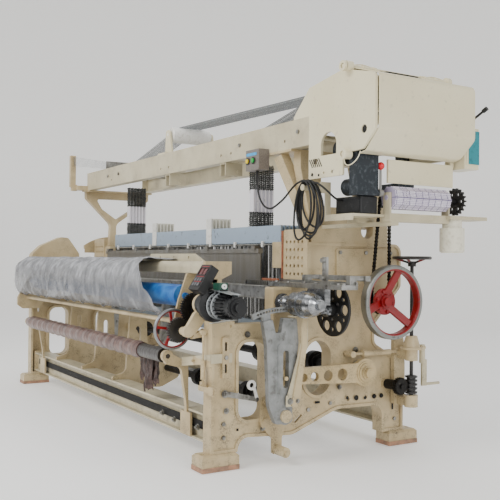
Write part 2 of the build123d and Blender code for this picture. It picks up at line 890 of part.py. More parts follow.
with BuildPart() as heald_guide:
    side_top = plate_height + 69
    cross_plate(
        plate_front - 8, 8,
        [
            (guide_left + 120, 890, 0),
            (guide_left + 120, side_top, 12),
            (outer, side_top, 12),
            (outer, 890, 0),
        ],
        [(guide_left + 150 + 36 * column, 930 + 42 * row, 9) for column in range(5) for row in range(5)],
    )
    block((guide_left, guide_left + 140), guide_back, (960, 1100))
    block((guide_left + 140, inner), (plate_front, plate_front + 10), (975, 1060))
    for place in heald_places:
        half = heald_thick / 2 + heald_slide_gap
        block(
            (guide_left - 1, heald_half + heald_slide_gap), (place - half, place + half), (950, 1110),
            Mode.SUBTRACT,
        )
    # Wooden wear strip on the block
    block((guide_left + 95, guide_left + 125), (plate_front + 14, guide_back[1] - 10), (1100, 1112))

with BuildPart() as heald_guides:
    add(heald_guide.part)
    add(mirror(heald_guide.part, about=Plane.YZ))
write(heald_guides.part, "heald_guides")


# Rapier rails: a plate on each frame's deck, a raised strip behind it and a slotted post

def rapier_rail_pieces():
    """The right-hand rail, running out past the frame."""
    plate_top = deck_height + rail_plate_thick
    plate_rear_edge = rail_plate_front + rail_plate_depth
    block(
        (rail_plate_left, rail_plate_right), (rail_plate_front, plate_rear_edge),
        (deck_height, plate_top),
    )
    block(
        (rail_plate_left, rail_plate_right), (plate_rear_edge - 10, plate_rear_edge),
        (plate_top, plate_top + 14),
    )
    block((outer + 6, rail_plate_right), (642, 672), (905, 930))
    for x in (1580, rail_plate_right - 24):
        block((x - 14, x + 14), (plate_rear_edge - 40, plate_rear_edge), (plate_top, 930))
        block((x - 14, x + 14), (plate_rear_edge - 10, 650), (910, 930))
    block((1770, 1870), (505, 560), (plate_top, plate_top + 12))
    block((1800, 1835), (508, 520), (plate_top, 1018))
    block((1810, 1825), (500, 530), (930, 990), Mode.SUBTRACT)
    for height in (918, 1002):
        rod((1817, 490, height), (1817, 508, height), 11)
    for x in (1370, 1480, 1620, 1720, 1900, 1936):
        rod((x, rail_plate_front + 30, plate_top), (x, rail_plate_front + 30, plate_top + 8), 10)
    # Wooden runners beside the path of the rapier
    block((1620, 1760), (plate_rear_edge - 42, plate_rear_edge - 14), (plate_top, plate_top + 7))
    block((1850, 1915), (plate_rear_edge - 42, plate_rear_edge - 14), (plate_top, plate_top + 7))


with BuildPart() as rail_side:
    rapier_rail_pieces()

with BuildPart() as rapier_rail:
    add(rail_side.part)
    add(mirror(rail_side.part, about=Plane.YZ))
write(rapier_rail.part, "rapier_rail")

# Polished gear casings of the rapier wheels: neck, ball, thin waist, long body and nozzle

casing_profile = [
    (outer, 0), (outer, 46), (outer + 8, 46), (outer + 8, 22), (outer + 16, 26), (outer + 26, 36),
    (outer + 40, 40), (outer + 56, 38), (outer + 70, 28), (outer + 76, 12), (outer + 107, 12),
    (outer + 107, 44), (outer + 125, 60), (outer + 200, 60), (outer + 250, 58), (outer + 290, 48),
    (outer + 318, 30), (outer + 318, 22), (outer + 335, 22), (outer + 335, 0),
]
nozzle_back = (casing_axis[0] + 50, rapier_wheel_back - 28)

with BuildPart() as casing_side:
    with BuildSketch(cross_plane(casing_axis[0])):
        with BuildLine():
            Polyline(*[(x, casing_axis[1] + r) for x, r in casing_profile], close=True)
        make_face()
    revolve(axis=Axis(spot(casing_axis), (1, 0, 0)))
    rod(
        (rapier_wheel_x, casing_axis[0] + 20, rapier_wheel_height),
        (rapier_wheel_x, nozzle_back[1], rapier_wheel_height), 27,
    )
    rod(
        (rapier_wheel_x, nozzle_back[1] - 14, rapier_wheel_height),
        (rapier_wheel_x, nozzle_back[1], rapier_wheel_height), 36,
    )
    rod(
        (rapier_wheel_x, nozzle_back[0] + 14, rapier_wheel_height),
        (rapier_wheel_x, nozzle_back[1] + 1, rapier_wheel_height),
        rapier_shaft_radius + running_gap, Mode.SUBTRACT,
    )
    # Joint flange with its cap screws, lifting eye and the seat up to the rail
    with Locations(spot(casing_axis, outer + 190)):
        Cylinder(66, 14, rotation=(0, 90, 0))
        with BuildSketch(axle_plane(casing_axis, outer + 180)):
            with PolarLocations(57, 6, start_angle=30):
                Circle(6)
        extrude(amount=24)
    block(
        (outer + 150, outer + 290), (rail_plate_front - 4, rail_plate_front + 30),
        (casing_axis[1], deck_height),
    )

with BuildPart() as gear_casing:
    add(casing_side.part)
    add(mirror(casing_side.part, about=Plane.YZ))
write(gear_casing.part, "gear_casing")

# Rapier wheels, blackened discs with two rings of holes, on a shaft through the nozzle

with BuildPart() as wheel_side:
    with BuildSketch(cross_plane(rapier_wheel_back)):
        with Locations((rapier_wheel_x, rapier_wheel_height)):
            Circle(rapier_wheel_radius)
            with PolarLocations(94, 6):
                Circle(26, mode=Mode.SUBTRACT)
            with PolarLocations(98, 6, start_angle=30):
                Circle(11, mode=Mode.SUBTRACT)
            with PolarLocations(50, 6, start_angle=30):
                Circle(9, mode=Mode.SUBTRACT)
    extrude(amount=-rapier_wheel_thick)
    wheel_spot = (rapier_wheel_x, rapier_wheel_height)
    rod(
        (wheel_spot[0], nozzle_back[0] + 24, wheel_spot[1]),
        (wheel_spot[0], rapier_wheel_back + 2, wheel_spot[1]), rapier_shaft_radius,
    )
    rod(
        (wheel_spot[0], nozzle_back[1] + running_gap, wheel_spot[1]),
        (wheel_spot[0], rapier_wheel_back + 22, wheel_spot[1]), 34,
    )
    with BuildSketch(cross_plane(rapier_wheel_back + 22)):
        with Locations(wheel_spot):
            RegularPolygon(17, 6)
    extrude(amount=-12)
write(wheel_side.part, "rapier_wheel")

with BuildPart() as left_rapier_wheel:
    add(mirror(wheel_side.part, about=Plane.YZ))
write(left_rapier_wheel.part, "left_rapier_wheel")

# Rapier lever: a forked casting on its pin, with an adjusting slot and a perforated sector

lever_x = outer + lever_layer
lever_slot = (182, 34)
lever_slot_height = 474
lever_corners = [
    (345, 212, 20), (306, 300, 120), (290, 600, 60), (268, 708, 6), (322, 716, 6), (340, 650, 10),
    (372, 650, 10), (384, 722, 6), (462, 718, 6), (474, 600, 60), (440, 300, 120), (440, 212, 20),
]
link_start = (lever_pivot[0], 430)

with BuildPart() as rapier_lever:
    side_plate(lever_x, lever_thick, lever_corners)
    side_plate(lever_x + lever_thick - 6, 8, [
        (356, 330, 20), (352, 600, 20), (446, 600, 20), (432, 330, 20),
    ])
    with BuildSketch(side_plane(lever_x - 2)):
        with Locations((back(lever_pivot[0]), lever_slot_height)):
            SlotOverall(*lever_slot, rotation=90)
    extrude(amount=lever_thick + 10, mode=Mode.SUBTRACT)
    with Locations(spot(lever_pivot, lever_x)):
        Cylinder(42, lever_thick, rotation=(0, 90, 0), align=(Align.CENTER, Align.CENTER, Align.MIN))
    with BuildSketch(axle_plane(lever_pivot, lever_x + 4)) as sector:
        Circle(sector_radius)
        Circle(sector_radius - sector_width, mode=Mode.SUBTRACT)
        with BuildLine() as edge:
            Polyline(
                (0, 0),
                *[(800 * sin(radians(a)), 800 * cos(radians(a))) for a in (-21, -9, 3)],
                close=True,
            )
        make_face(edge.edges(), mode=Mode.INTERSECT)
        with PolarLocations(sector_radius - sector_width / 2, 11, start_angle=89, angular_range=20):
            Circle(6, mode=Mode.SUBTRACT)
    extrude(sector.sketch, amount=sector_thick)
    # Web that joins the sector to the fork
    with BuildSketch(axle_plane(lever_pivot, lever_x + 4)) as web:
        Circle(sector_radius - sector_width + 2)
        Circle(440, mode=Mode.SUBTRACT)
        with BuildLine() as edge:
            Polyline(
                (0, 0),
                *[(800 * sin(radians(a)), 800 * cos(radians(a))) for a in (-15.5, -12, -9.5)],
                close=True,
            )
        make_face(edge.edges(), mode=Mode.INTERSECT)
    extrude(web.sketch, amount=sector_thick)
    with Locations(spot(lever_pivot, lever_x + lever_thick / 2)):
        Cylinder(
            lever_pin_radius + running_gap, 2 * lever_thick, rotation=(0, 90, 0), mode=Mode.SUBTRACT,
        )
write(rapier_lever.part, "rapier_lever")

# Bracket of the rapier lever: plate on the frame, pin with its cap, arm and the bent link bar

pin_end = lever_x + lever_thick + running_gap + 13

with BuildPart() as lever_bracket:
    side_plate(outer, 14, [
        (325, 330, 12), (476, 330, 12), (476, 200, 30), (448, 120, 20),
        (448, 60, 10), (392, 40, 10), (392, 120, 20), (325, 190, 30),
    ])
    rod(
        (outer + 14, lever_pivot[0], lever_pivot[1]),
        (lever_x - running_gap, lever_pivot[0], lever_pivot[1]), 34,
    )
    rod(
        (outer + 10, lever_pivot[0], lever_pivot[1]), (pin_end, lever_pivot[0], lever_pivot[1]),
        lever_pin_radius,
    )
    rod((pin_end - 13, lever_pivot[0], lever_pivot[1]), (pin_end, lever_pivot[0], lever_pivot[1]), 30)
    rod((outer + 10, 420, 65), (lever_x + 10, 420, 65), 25)
    rod((outer + 10, 420, 65), (lever_x + 22, 420, 65), 9)
    link_x = outer + link_layer
    block((outer + 10, link_x + 2), (464, 476), (285, 330))
    side_plate(link_x, link_thick, [
        (417, 300, 4), (476, 590, 40), (478, 762, 2), (504, 762, 2), (504, 590, 40), (478, 430, 60), (
            464, 285, 4,
        ),
    ])
    with Locations(spot(casing_axis, outer + 200)):
        Cylinder(60 + running_gap, 220, rotation=(0, 90, 0), mode=Mode.SUBTRACT)
    for distance, height in ((345, 305), (345, 215), (458, 225)):
        with BuildSketch(side_plane(outer + 14)):
            with Locations((back(distance), height)):
                RegularPolygon(11, 6)
        extrude(amount=9)
write(lever_bracket.part, "lever_bracket")

# Connecting rod from the crank disc to the lever's slot, with holes to lighten it

rod_x = outer + rod_layer
rod_holes = ((533, 21), (599, 24), (682, 28), (773, 31))

with BuildPart() as connecting_rod:
    side_plate(rod_x, rod_thick, [
        (link_start[0], 466, 0), (crank_shaft[0], 472, 0), (crank_shaft[0], 368, 0), (
            link_start[0], 394, 0,
        ),
    ])
    for (distance, height), radius in ((link_start, 28), (crank_shaft, big_end_radius)):
        with Locations(spot((distance, height), rod_x)):
            Cylinder(
                radius, rod_thick, rotation=(0, 90, 0), align=(Align.CENTER, Align.CENTER, Align.MIN),
            )
    for collar_radius, collar_height in ((big_end_radius - 14, 5), (48, 12), (34, 20)):
        with Locations(spot(crank_shaft, rod_x + rod_thick)):
            Cylinder(
                collar_radius, collar_height, rotation=(0, 90, 0),
                align=(Align.CENTER, Align.CENTER, Align.MIN),
            )
    with BuildSketch(side_plane(rod_x + rod_thick + 20)):
        with Locations((back(crank_shaft[0]), crank_shaft[1])):
            RegularPolygon(26, 6)
    extrude(amount=16)
    rod(
        (rod_x + rod_thick - 1, *link_start), (lever_x + lever_thick + 8, *link_start), 10,
    )
    for distance, radius in rod_holes:
        rod(
            (rod_x - 1, distance, crank_shaft[1]), (rod_x + rod_thick + 1, distance, crank_shaft[1]),
            radius, Mode.SUBTRACT,
        )
write(connecting_rod.part, "connecting_rod")

with BuildPart() as crank_disc:
    disc_gap = 0.5
    with Locations(spot(crank_shaft, rod_x - disc_gap)):
        Cylinder(60, 36, rotation=(0, 90, 0), align=(Align.CENTER, Align.CENTER, Align.MAX))
        Cylinder(
            crank_shaft_radius, rod_layer + frame_thick + 20, rotation=(0, 90, 0),
            align=(Align.CENTER, Align.CENTER, Align.MAX),
        )
write(crank_disc.part, "crank_disc")

# Flywheel with three dished spokes, on the main shaft that runs the width of the machine

flywheel_x = outer + flywheel_layer
sprocket_teeth = 14

with BuildPart() as flywheel:
    with BuildSketch(side_plane(flywheel_x)):
        with Locations((back(main_shaft[0]), main_shaft[1])):
            Circle(flywheel_radius)
            Circle(flywheel_radius - flywheel_rim, mode=Mode.SUBTRACT)
    extrude(amount=flywheel_width)
    fillet(flywheel.edges().filter_by(GeomType.CIRCLE), 9)
    hub_x = outer + 92
    disc_x = hub_x + 14
    with Locations(spot(main_shaft, hub_x)):
        Cylinder(46, 30, rotation=(0, 90, 0), align=(Align.CENTER, Align.CENTER, Align.MIN))
    with Locations(spot(main_shaft, disc_x)):
        Cylinder(
            hub_disc_radius, 14, rotation=(0, 90, 0), align=(Align.CENTER, Align.CENTER, Align.MIN),
        )
    with Locations(spot(main_shaft, disc_x + 14)):
        Cylinder(34, 14, rotation=(0, 90, 0), align=(Align.CENTER, Align.CENTER, Align.MIN))
    with BuildSketch(side_plane(disc_x + 14)):
        with Locations((back(main_shaft[0]), main_shaft[1])):
            with PolarLocations(hub_disc_radius - 16, 6, start_angle=45):
                RegularPolygon(9, 6)
    extrude(amount=8)
    for turn in (75, 195, 315):
        first = 30
        last = flywheel_radius - flywheel_rim + 6
        aim = (cos(radians(turn)), sin(radians(turn)))
        start = Vector(disc_x + 5, back(main_shaft[0]) + first * aim[0], main_shaft[1] + first * aim[1])
        stop = Vector(
            flywheel_x + 25, back(main_shaft[0]) + last * aim[0], main_shaft[1] + last * aim[1],
        )
        with BuildSketch(Plane(origin=start, x_dir=(0, -aim[1], aim[0]), z_dir=stop - start)):
            RectangleRounded(44, 18, 7)
        extrude(amount=(stop - start).length)
    shaft_stop = disc_x + 42
    with Locations(spot(main_shaft, shaft_stop)):
        Cylinder(
            main_shaft_radius, shaft_stop + outer, rotation=(0, 90, 0),
            align=(Align.CENTER, Align.CENTER, Align.MAX),
        )
    with BuildSketch(axle_plane(main_shaft, outer + chain_layer)):
        with BuildLine() as edge:
            gear_outline(sprocket_teeth, 2 * (sprocket_radius - 6) / sprocket_teeth)
        make_face(edge.edges())
    extrude(amount=chain_width)
    with Locations(spot(main_shaft, outer + 10)):
        Cylinder(
            40, hub_x - outer - 10, rotation=(0, 90, 0), align=(Align.CENTER, Align.CENTER, Align.MIN),
        )
write(flywheel.part, "flywheel")

# Drive chain up to the dobby, round the sprocket below and a small one above

with BuildPart() as drive_chain:
    with BuildSketch(side_plane(outer + chain_layer)) as loop:
        with Locations((back(main_shaft[0]), main_shaft[1])):
            Circle(sprocket_radius + 15)
        with Locations((back(chain_top[0]), chain_top[1])):
            Circle(39)
        make_hull()
    extrude(loop.sketch, amount=chain_width)
    with BuildSketch(side_plane(outer + chain_layer)) as bore:
        with Locations((back(main_shaft[0]), main_shaft[1])):
            Circle(sprocket_radius + 1)
        with Locations((back(chain_top[0]), chain_top[1])):
            Circle(25)
        make_hull()
    extrude(bore.sketch, amount=chain_width, mode=Mode.SUBTRACT)
write(drive_chain.part, "drive_chain")


# Let-off: an upright worm shaft with a handwheel, beside the worm gear on its own shaft

worm_heights = (293, 391)
worm_rings = 5

with BuildPart() as let_off_shaft:
    rod(
        (let_off_x, let_off_back, 228), (let_off_x, let_off_back, let_off_wheel_height - 20),
        let_off_shaft_radius,
    )
    with Locations((let_off_x, back(let_off_back), let_off_wheel_height)):
        Torus(let_off_wheel_radius - 9, 9)
    with Locations((let_off_x, back(let_off_back), let_off_wheel_height - 32)):
        Cylinder(22, 28)
    for turn in range(0, 360, 72):
        reach = let_off_wheel_radius - 9
        aim = (cos(radians(turn + 10)), sin(radians(turn + 10)))
        rod(
            (let_off_x + 14 * aim[0], let_off_back + 14 * aim[1], let_off_wheel_height - 27),
            (let_off_x + reach * aim[0], let_off_back + reach * aim[1], let_off_wheel_height),
            6,
        )
    rod((let_off_x, let_off_back, worm_heights[0]), (let_off_x, let_off_back, worm_heights[1]), 24)
    with Locations((let_off_x, back(let_off_back), sum(worm_heights) / 2)):
        for count in range(worm_rings):
            with Locations((0, 0, (count - (worm_rings - 1) / 2) * 21)):
                Cylinder(worm_radius, 9)
write(let_off_shaft.part, "let_off_shaft")

worm_gear_teeth = 22
worm_gear_module = worm_gear_tip / (worm_gear_teeth / 2 + 0.8)

with BuildPart() as worm_gear:
    with BuildSketch(axle_plane(worm_gear_axis, let_off_x - 15)):
        with BuildLine() as edge:
            gear_outline(worm_gear_teeth, worm_gear_module)
        make_face(edge.edges())
    extrude(amount=30)
    rod((inner, *worm_gear_axis), (let_off_x + 24, *worm_gear_axis), worm_gear_shaft_radius)
    rod((outer + 10, *worm_gear_axis), (let_off_x - 14, *worm_gear_axis), 27)
write(worm_gear.part, "worm_gear")

crank_back = let_off_back + 78
lug_bottom = 530

with BuildPart() as let_off_housing:
    side_plate(outer, 28, [
        (1168, 225, 16), (1168, 600, 30), (1232, 600, 30), (1244, 440, 20), (1244, 225, 16),
    ])
    block((outer + 20, let_off_x), (let_off_back - 24, let_off_back + 20), (474, 526))
    block((outer + 20, let_off_x), (let_off_back - 24, let_off_back + 20), (226, 268))
    block((let_off_x - 16, let_off_x + 16), (let_off_back, crank_back), (lug_bottom, lug_bottom + 12))
    rod((let_off_x, let_off_back, 470), (let_off_x, let_off_back, 532), 34)
    rod((let_off_x, let_off_back, lug_bottom), (let_off_x, let_off_back, lug_bottom + 12), 62)
    rod((let_off_x, crank_back, lug_bottom), (let_off_x, crank_back, lug_bottom + 12), 20)
    with Locations((let_off_x, back(let_off_back), lug_bottom + 42)):
        Cone(48, 30, 60)
    rod((let_off_x, let_off_back, 222), (let_off_x, let_off_back, 286), 36)
    rod(
        (let_off_x, let_off_back, 227.7), (let_off_x, let_off_back, 640),
        let_off_shaft_radius + running_gap, Mode.SUBTRACT,
    )
    rod((let_off_x, crank_back, 520), (let_off_x, crank_back, 560), 8 + running_gap, Mode.SUBTRACT)
    # Tie rod of the let-off brake, forward along the frame
    rod((1590, 850, 514), (1590, 1180, 514), 8)
    rod((1590, 960, 514), (1590, 1120, 514), 15)
    rod((1590, 930, 514), (1590, 962, 514), 20)
    rod((1570, 1185, 514), (1592, 1185, 514), 22)
    rod((outer, 862, 514), (1604, 862, 514), 17)
write(let_off_housing.part, "let_off_housing")

with BuildPart() as crank_handle:
    rod((let_off_x, crank_back, 452), (let_off_x, crank_back, lug_bottom - running_gap), 16)
    rod((let_off_x, crank_back, 452), (let_off_x, crank_back, lug_bottom + 22), 8)
    rod((let_off_x, crank_back, lug_bottom + 12.3), (let_off_x, crank_back, lug_bottom + 22), 15)
    block((let_off_x - 6, let_off_x + 6), (crank_back - 4, crank_back + 30), (328, 470))
    rod((let_off_x, crank_back + 10, 336), (let_off_x, crank_back + 125, 336), 8)
write(crank_handle.part, "crank_handle")


# Arch over the machine: two channels, their stands, pulleys and guides

arch_right = dobby_left
arch_top = arch_beam_bottom + arch_beam_height
arch_web = (arch_beam_left, arch_right)


def arch_channel(face, toward):
    """One channel with its web this far back and its flanges running toward the other one."""
    edges = sorted((face, face + toward * arch_beam_depth))
    hollow = sorted((face + toward * arch_beam_wall, face + toward * (arch_beam_depth + 5)))
    block(arch_web, edges, (arch_beam_bottom, arch_top))
    block(
        (arch_web[0] + arch_beam_wall, arch_web[1] + 5), hollow,
        (arch_beam_bottom + arch_beam_wall, arch_top - arch_beam_wall), Mode.SUBTRACT,
    )


with BuildPart() as arch_beam_front:
    arch_channel(arch_front_back, 1)
    for x in (-909, -16, 105, 814, 930, 1480):
        rod((x, arch_front_back - 4, 1608), (x, arch_front_back + 14, 1608), 8, Mode.SUBTRACT)
    # Pulley brackets hung under the beam, each with its grooved wheel
    for x in (80, 825):
        block((x - 34, x - 26), (arch_front_back + 6, 622), (1490, arch_beam_bottom))
        block((x + 26, x + 34), (arch_front_back + 6, 622), (1490, arch_beam_bottom))
        block((x - 34, x + 34), (arch_front_back + 6, 555), (arch_beam_bottom - 8, arch_beam_bottom))
        rod((x - 44, 590, 1516), (x + 44, 590, 1516), 8)
        rod((x - 22, 590, 1516), (x + 22, 590, 1516), 26)
write(arch_beam_front.part, "arch_beam_front")

with BuildPart() as arch_beam_rear:
    arch_channel(arch_rear_back, -1)
write(arch_beam_rear.part, "arch_beam_rear")

with BuildPart() as left_arch_stand:
    side_plate(-outer + 20, arch_stand_thick - 10, [
        (655, plate_height, 0), (655, plate_height + 14, 6), (712, plate_height + 14, 20),
        (720, 1290, 60), (505, 1500, 20), (502, arch_beam_bottom, 0), (1062, arch_beam_bottom, 0),
        (1060, 1500, 20), (768, 1290, 60), (772, plate_height + 14, 20), (840, plate_height + 14, 6),
        (840, plate_height, 0),
    ])
    side_plate(-outer, frame_thick + 20, [
        (640, 1416, 16), (590, 1500, 16), (980, 1500, 16), (900, 1416, 16), (770, 1330, 30),
    ], mode=Mode.SUBTRACT)
    block((-outer + 20, -1400), (arch_front_back, 1062), (arch_beam_bottom - 12, arch_beam_bottom))
    # Post with the comb for the harness cords, on an arm from the stand
    post_x = (-outer + 14, -outer + 50)
    block(post_x, (374, 418), (1590, 1850))
    block(post_x, (386, 430), (1560, 1610))
    block((post_x[0], -1440), (415, arch_front_back), (1566, 1600))
    block((-1490, -1440), (470, arch_front_back), (arch_beam_bottom - 12, 1600))
    for count in range(8):
        height = 1766 + count * 10
        block((post_x[1] - 10, post_x[1] + 12), (384, 408), (height - 3, height + 3))
write(left_arch_stand.part, "left_arch_stand")

with BuildPart() as right_arch_stand:
    side_plate(outer - 65, arch_stand_thick, [
        (632, plate_height, 0), (632, 1180, 20), (560, 1480, 40), (560, arch_beam_bottom, 0),
        (1052, arch_beam_bottom, 0), (1052, 1480, 40), (1142, 1180, 20), (1142, plate_height, 0),
    ])
    with BuildSketch(side_plane(outer - 70)):
        with Locations((back(1000), 1180)):
            SlotOverall(120, 84, rotation=90)
        with Locations((back(820), 1390)):
            RectangleRounded(260, 220, 40)
    extrude(amount=arch_stand_thick + 20, mode=Mode.SUBTRACT)
    block(
        (1340, outer - 6), (arch_front_back, arch_rear_back), (arch_beam_bottom - 12, arch_beam_bottom),
    )
    for start, stop in (((1400, 534), (1502, 650)), ((1400, 1020), (1502, 1020))):
        first = Vector(start[0], back(start[1]), arch_beam_bottom - 20)
        line = Vector(stop[0], back(stop[1]), 1180) - first
        with Locations(Plane(origin=first, x_dir=(1, 0, 0.26), z_dir=line)):
            Box(70, 50, line.length, align=(Align.CENTER, Align.CENTER, Align.MIN))
write(right_arch_stand.part, "right_arch_stand")

# White guide roller above the beams, between its two bracket plates

roller_x = -25
roller_height = 1846
roller_backs = (578, 868)

with BuildPart() as guide_roller:
    rod((roller_x, roller_backs[0], roller_height), (roller_x, roller_backs[1], roller_height), 52)
    rod(
        (roller_x, roller_backs[0] - 22, roller_height),
        (roller_x, roller_backs[1] + 22, roller_height), 9,
    )
    chamfer(guide_roller.edges().filter_by(GeomType.CIRCLE).sort_by(SortBy.RADIUS)[-2:], 6)
write(guide_roller.part, "guide_roller")

# Harness cords: bands from the dobby to the roller, down to the beams, and the comb cords

ribbon_thick = 4


def ribbon(start, end, backs):
    """A flat band of cords between two (x, height) points, this far back to this far back."""
    first = Vector(start[0], 0, start[1])
    line = Vector(end[0], 0, end[1]) - first
    with Locations(
        Plane(origin=(start[0], back(sum(backs) / 2), start[1]), x_dir=(0, 1, 0), z_dir=line),
    ):
        Box(
            backs[1] - backs[0], ribbon_thick, line.length,
            align=(Align.CENTER, Align.CENTER, Align.MIN),
        )


roller_top = roller_height + 52 + ribbon_thick
with BuildPart() as harness_cords:
    ribbon((1576, 1858), (roller_x, roller_top), (640, 810))
    ribbon((roller_x, roller_top), (hanger_places[0] + 40, arch_top + 10), (640, 810))
    ribbon((hanger_places[0] + 42, arch_top + 12), (hanger_places[0], 1650), (640, 810))
    ribbon((1576, 1846), (hanger_places[1] + 40, arch_top + 16), (640, 810))
    ribbon((hanger_places[1] + 42, arch_top + 18), (hanger_places[1], 1650), (640, 810))
    for x in hanger_places:
        block(
            (x - 26, x + 26),
            (arch_front_back + arch_beam_wall, arch_rear_back - arch_beam_wall), (1650, 1658),
        )
        rod(
            (x + 42, arch_front_back + arch_beam_wall, arch_top - 24),
            (x + 42, arch_rear_back - arch_beam_wall, arch_top - 24), 12,
        )
    for count in range(8):
        rod((post_x[1] + 14, 396, 1766 + count * 10), (-1180, 640, 1722 + count * 7), 2)
    block((-1184, -1176), (560, 1000), (arch_top, 1784))
write(harness_cords.part, "harness_cords")

# Dobby frame: two end plates, ties, lid, hatch plate and the roller's bracket plates

plate_rear_back = dobby_front_back + dobby_depth - dobby_sheet
dobby_corners = [
    (dobby_left, 1497, 0), (dobby_left, arch_beam_bottom, 0), (dobby_left, arch_top, 0),
    (1560, arch_top, 0), (1560, arch_top + 12, 4), (dobby_left, 1843, 10),
    (1975, 1885, 8), (2010, 1870, 8), (2185, 1826, 30), (2186, 1579, 36), (2100, 1500, 20),
    (2040, 1497, 4),
]
arch_opening = (1850, 60, 1548)
hinge_spot = (1994, 1893)

with BuildPart() as dobby_frame:
    for distance in (dobby_front_back, plate_rear_back):
        cross_plate(distance, dobby_sheet, dobby_corners, [(2111, 1587, 19)])
    with BuildSketch(cross_plane(dobby_front_back)):
        with Locations((arch_opening[0], arch_opening[2] - 40)):
            Rectangle(2 * arch_opening[1], 90)
        with Locations((arch_opening[0], arch_opening[2])):
            Circle(arch_opening[1])
    extrude(amount=-dobby_sheet, mode=Mode.SUBTRACT)
    for x, height in ((1730, 1600), (1800, 1760), (2120, 1640), (1960, 1660)):
        rod((x, dobby_front_back + 4, height), (x, plate_rear_back + 4, height), 13)
    # Sloping lid between the plates
    cross_plate(dobby_front_back + 4, dobby_depth - 8, [
        (dobby_left + 4, 1830, 0), (dobby_left + 4, 1838, 0), (1970, 1878, 0), (1970, 1870, 0),
    ])
    # Hatch plate below the front end plate, with its slots
    cross_plate(dobby_front_back, 10, [
        (dobby_left, 1395, 10), (dobby_left, 1500, 0), (1960, 1500, 0), (1960, 1395, 10),
    ], [(1745, 1478, 15), (1880, 1418, 8), (1815, 1418, 6)])
    # Cream cylinders at the two front corners
    rod((2006, dobby_front_back - 30, 1484), (2006, dobby_front_back + 4, 1484), 22)
    rod((2003, dobby_front_back - 26, 1886), (2003, dobby_front_back + 10, 1886), 24)
    rod((2003, plate_rear_back, 1886), (2003, plate_rear_back + 24, 1886), 24)
    rod(
        (hinge_spot[0], dobby_front_back, hinge_spot[1]),
        (hinge_spot[0], plate_rear_back + 10, hinge_spot[1]), 5,
    )
    # Lower lid over the pattern cylinder, on the rear end plate
    block((2046, 2058), (690, plate_rear_back), (1362, 1470))
    block((2046, 2058), (1086, plate_rear_back + 4), (1460, 1504))
    # Box on the rear end plate
    block((1990, 2120), (plate_rear_back + dobby_sheet, plate_rear_back + 110), (1450, 1650))
    block((2119, 2124), (plate_rear_back + 24, plate_rear_back + 100), (1470, 1640))
    # Bearing plates of the white roller, standing on the channels
    for distance, foot in ((roller_backs[0] - 22, arch_front_back), (roller_backs[1] + 10, 0)):
        cross_plate(
            distance, 12,
            [(roller_x - 40, arch_top, 0), (roller_x - 30, roller_height + 30, 24),
             (roller_x + 24, roller_height + 30, 24), (roller_x + 70, arch_top, 0)],
            [(roller_x, roller_height, 9 + running_gap)],
        )
    block((roller_x - 40, roller_x + 70), (arch_front_back, 568), (arch_top, arch_top + 10))
    block((roller_x - 40, roller_x + 70), (878, arch_rear_back), (arch_top, arch_top + 10))
write(dobby_frame.part, "dobby_frame")

# Hinged cover over the cloth-side end of the dobby

cover_profile = [
    (2006, 1884, 0), (2195, 1826, 25), (2195, 1585, 35), (2105, 1492, 30), (2062, 1484, 0),
    (2062, 1488, 0), (2103, 1496, 26), (2191, 1587, 31), (2191, 1823, 21), (2006, 1880, 0),
]
cover_backs = (dobby_front_back + dobby_sheet + cover_gap, plate_rear_back - cover_gap)

with BuildPart() as dobby_cover:
    cross_plate(cover_backs[0], cover_backs[1] - cover_backs[0], cover_profile)
    for distance in (cover_backs[0] + 60, cover_backs[1] - 160):
        rod((hinge_spot[0], distance, hinge_spot[1]), (hinge_spot[0], distance + 90, hinge_spot[1]), 9)
        block((hinge_spot[0], 2020), (distance, distance + 90), (1879, 1886))
    rod(
        (hinge_spot[0], cover_backs[0], hinge_spot[1]), (hinge_spot[0], cover_backs[1], hinge_spot[1]),
        5 + running_gap, Mode.SUBTRACT,
    )
write(dobby_cover.part, "dobby_cover")

# Dobby mechanism: jack levers on their shaft, gear case, motor and the chain's upper drive

jack_backs = [620 + 35 * count for count in range(12)]

with BuildPart() as dobby_mechanism:
    for distance in jack_backs:
        block((1580, 1940), (distance, distance + 9), (1776, 1816))
        block((1580, 1612), (distance - 3, distance + 12), (1806, 1866))
    rod((1860, jack_backs[0] - 60, 1776), (1860, jack_backs[-1] + 60, 1776), 22)
    block((1850, 1870), (dobby_front_back + dobby_sheet, 600), (1756, 1796))
    block((1850, 1870), (1040, plate_rear_back), (1756, 1796))
    block((1990, 2046), (dobby_front_back + dobby_sheet, 642), (1300, 1530))
    rod((1900, 577, 1345), (2000, 577, 1345), 40)
    rod((1882, 577, 1345), (1900, 577, 1345), 26)
    rod((2035, 640, 1315), (2035, 676, 1315), 6)
    rod((2035, 640, 1315), (2035, 651.7, 1315), 11)
    block((1660, 1790), (990, 1100), (1280, 1400))
    block((1690, 1750), (1060, plate_rear_back), (1390, 1560))
    rod((outer + chain_layer - 12, *chain_top), (1670, *chain_top), 12)
    rod((outer + chain_layer + 1, *chain_top), (outer + chain_layer + 13, *chain_top), 24.5)
    # Cam and cranks behind the arched opening
    rod((1850, 560, 1530), (1850, 600, 1530), 42)
    block((1842, 1858), (590, plate_rear_back), (1522, 1538))
write(dobby_mechanism.part, "dobby_mechanism")

# Control shelf under the dobby: tray, lip, hook arm, jar shelf and the cylinder's bearings

arm_top = 1205
coil_x = 1744
control_box_front = 560
peg_height = 1349
peg_radius = 9
cylinder_ends = (pattern_front_back, pattern_front_back + pattern_length)

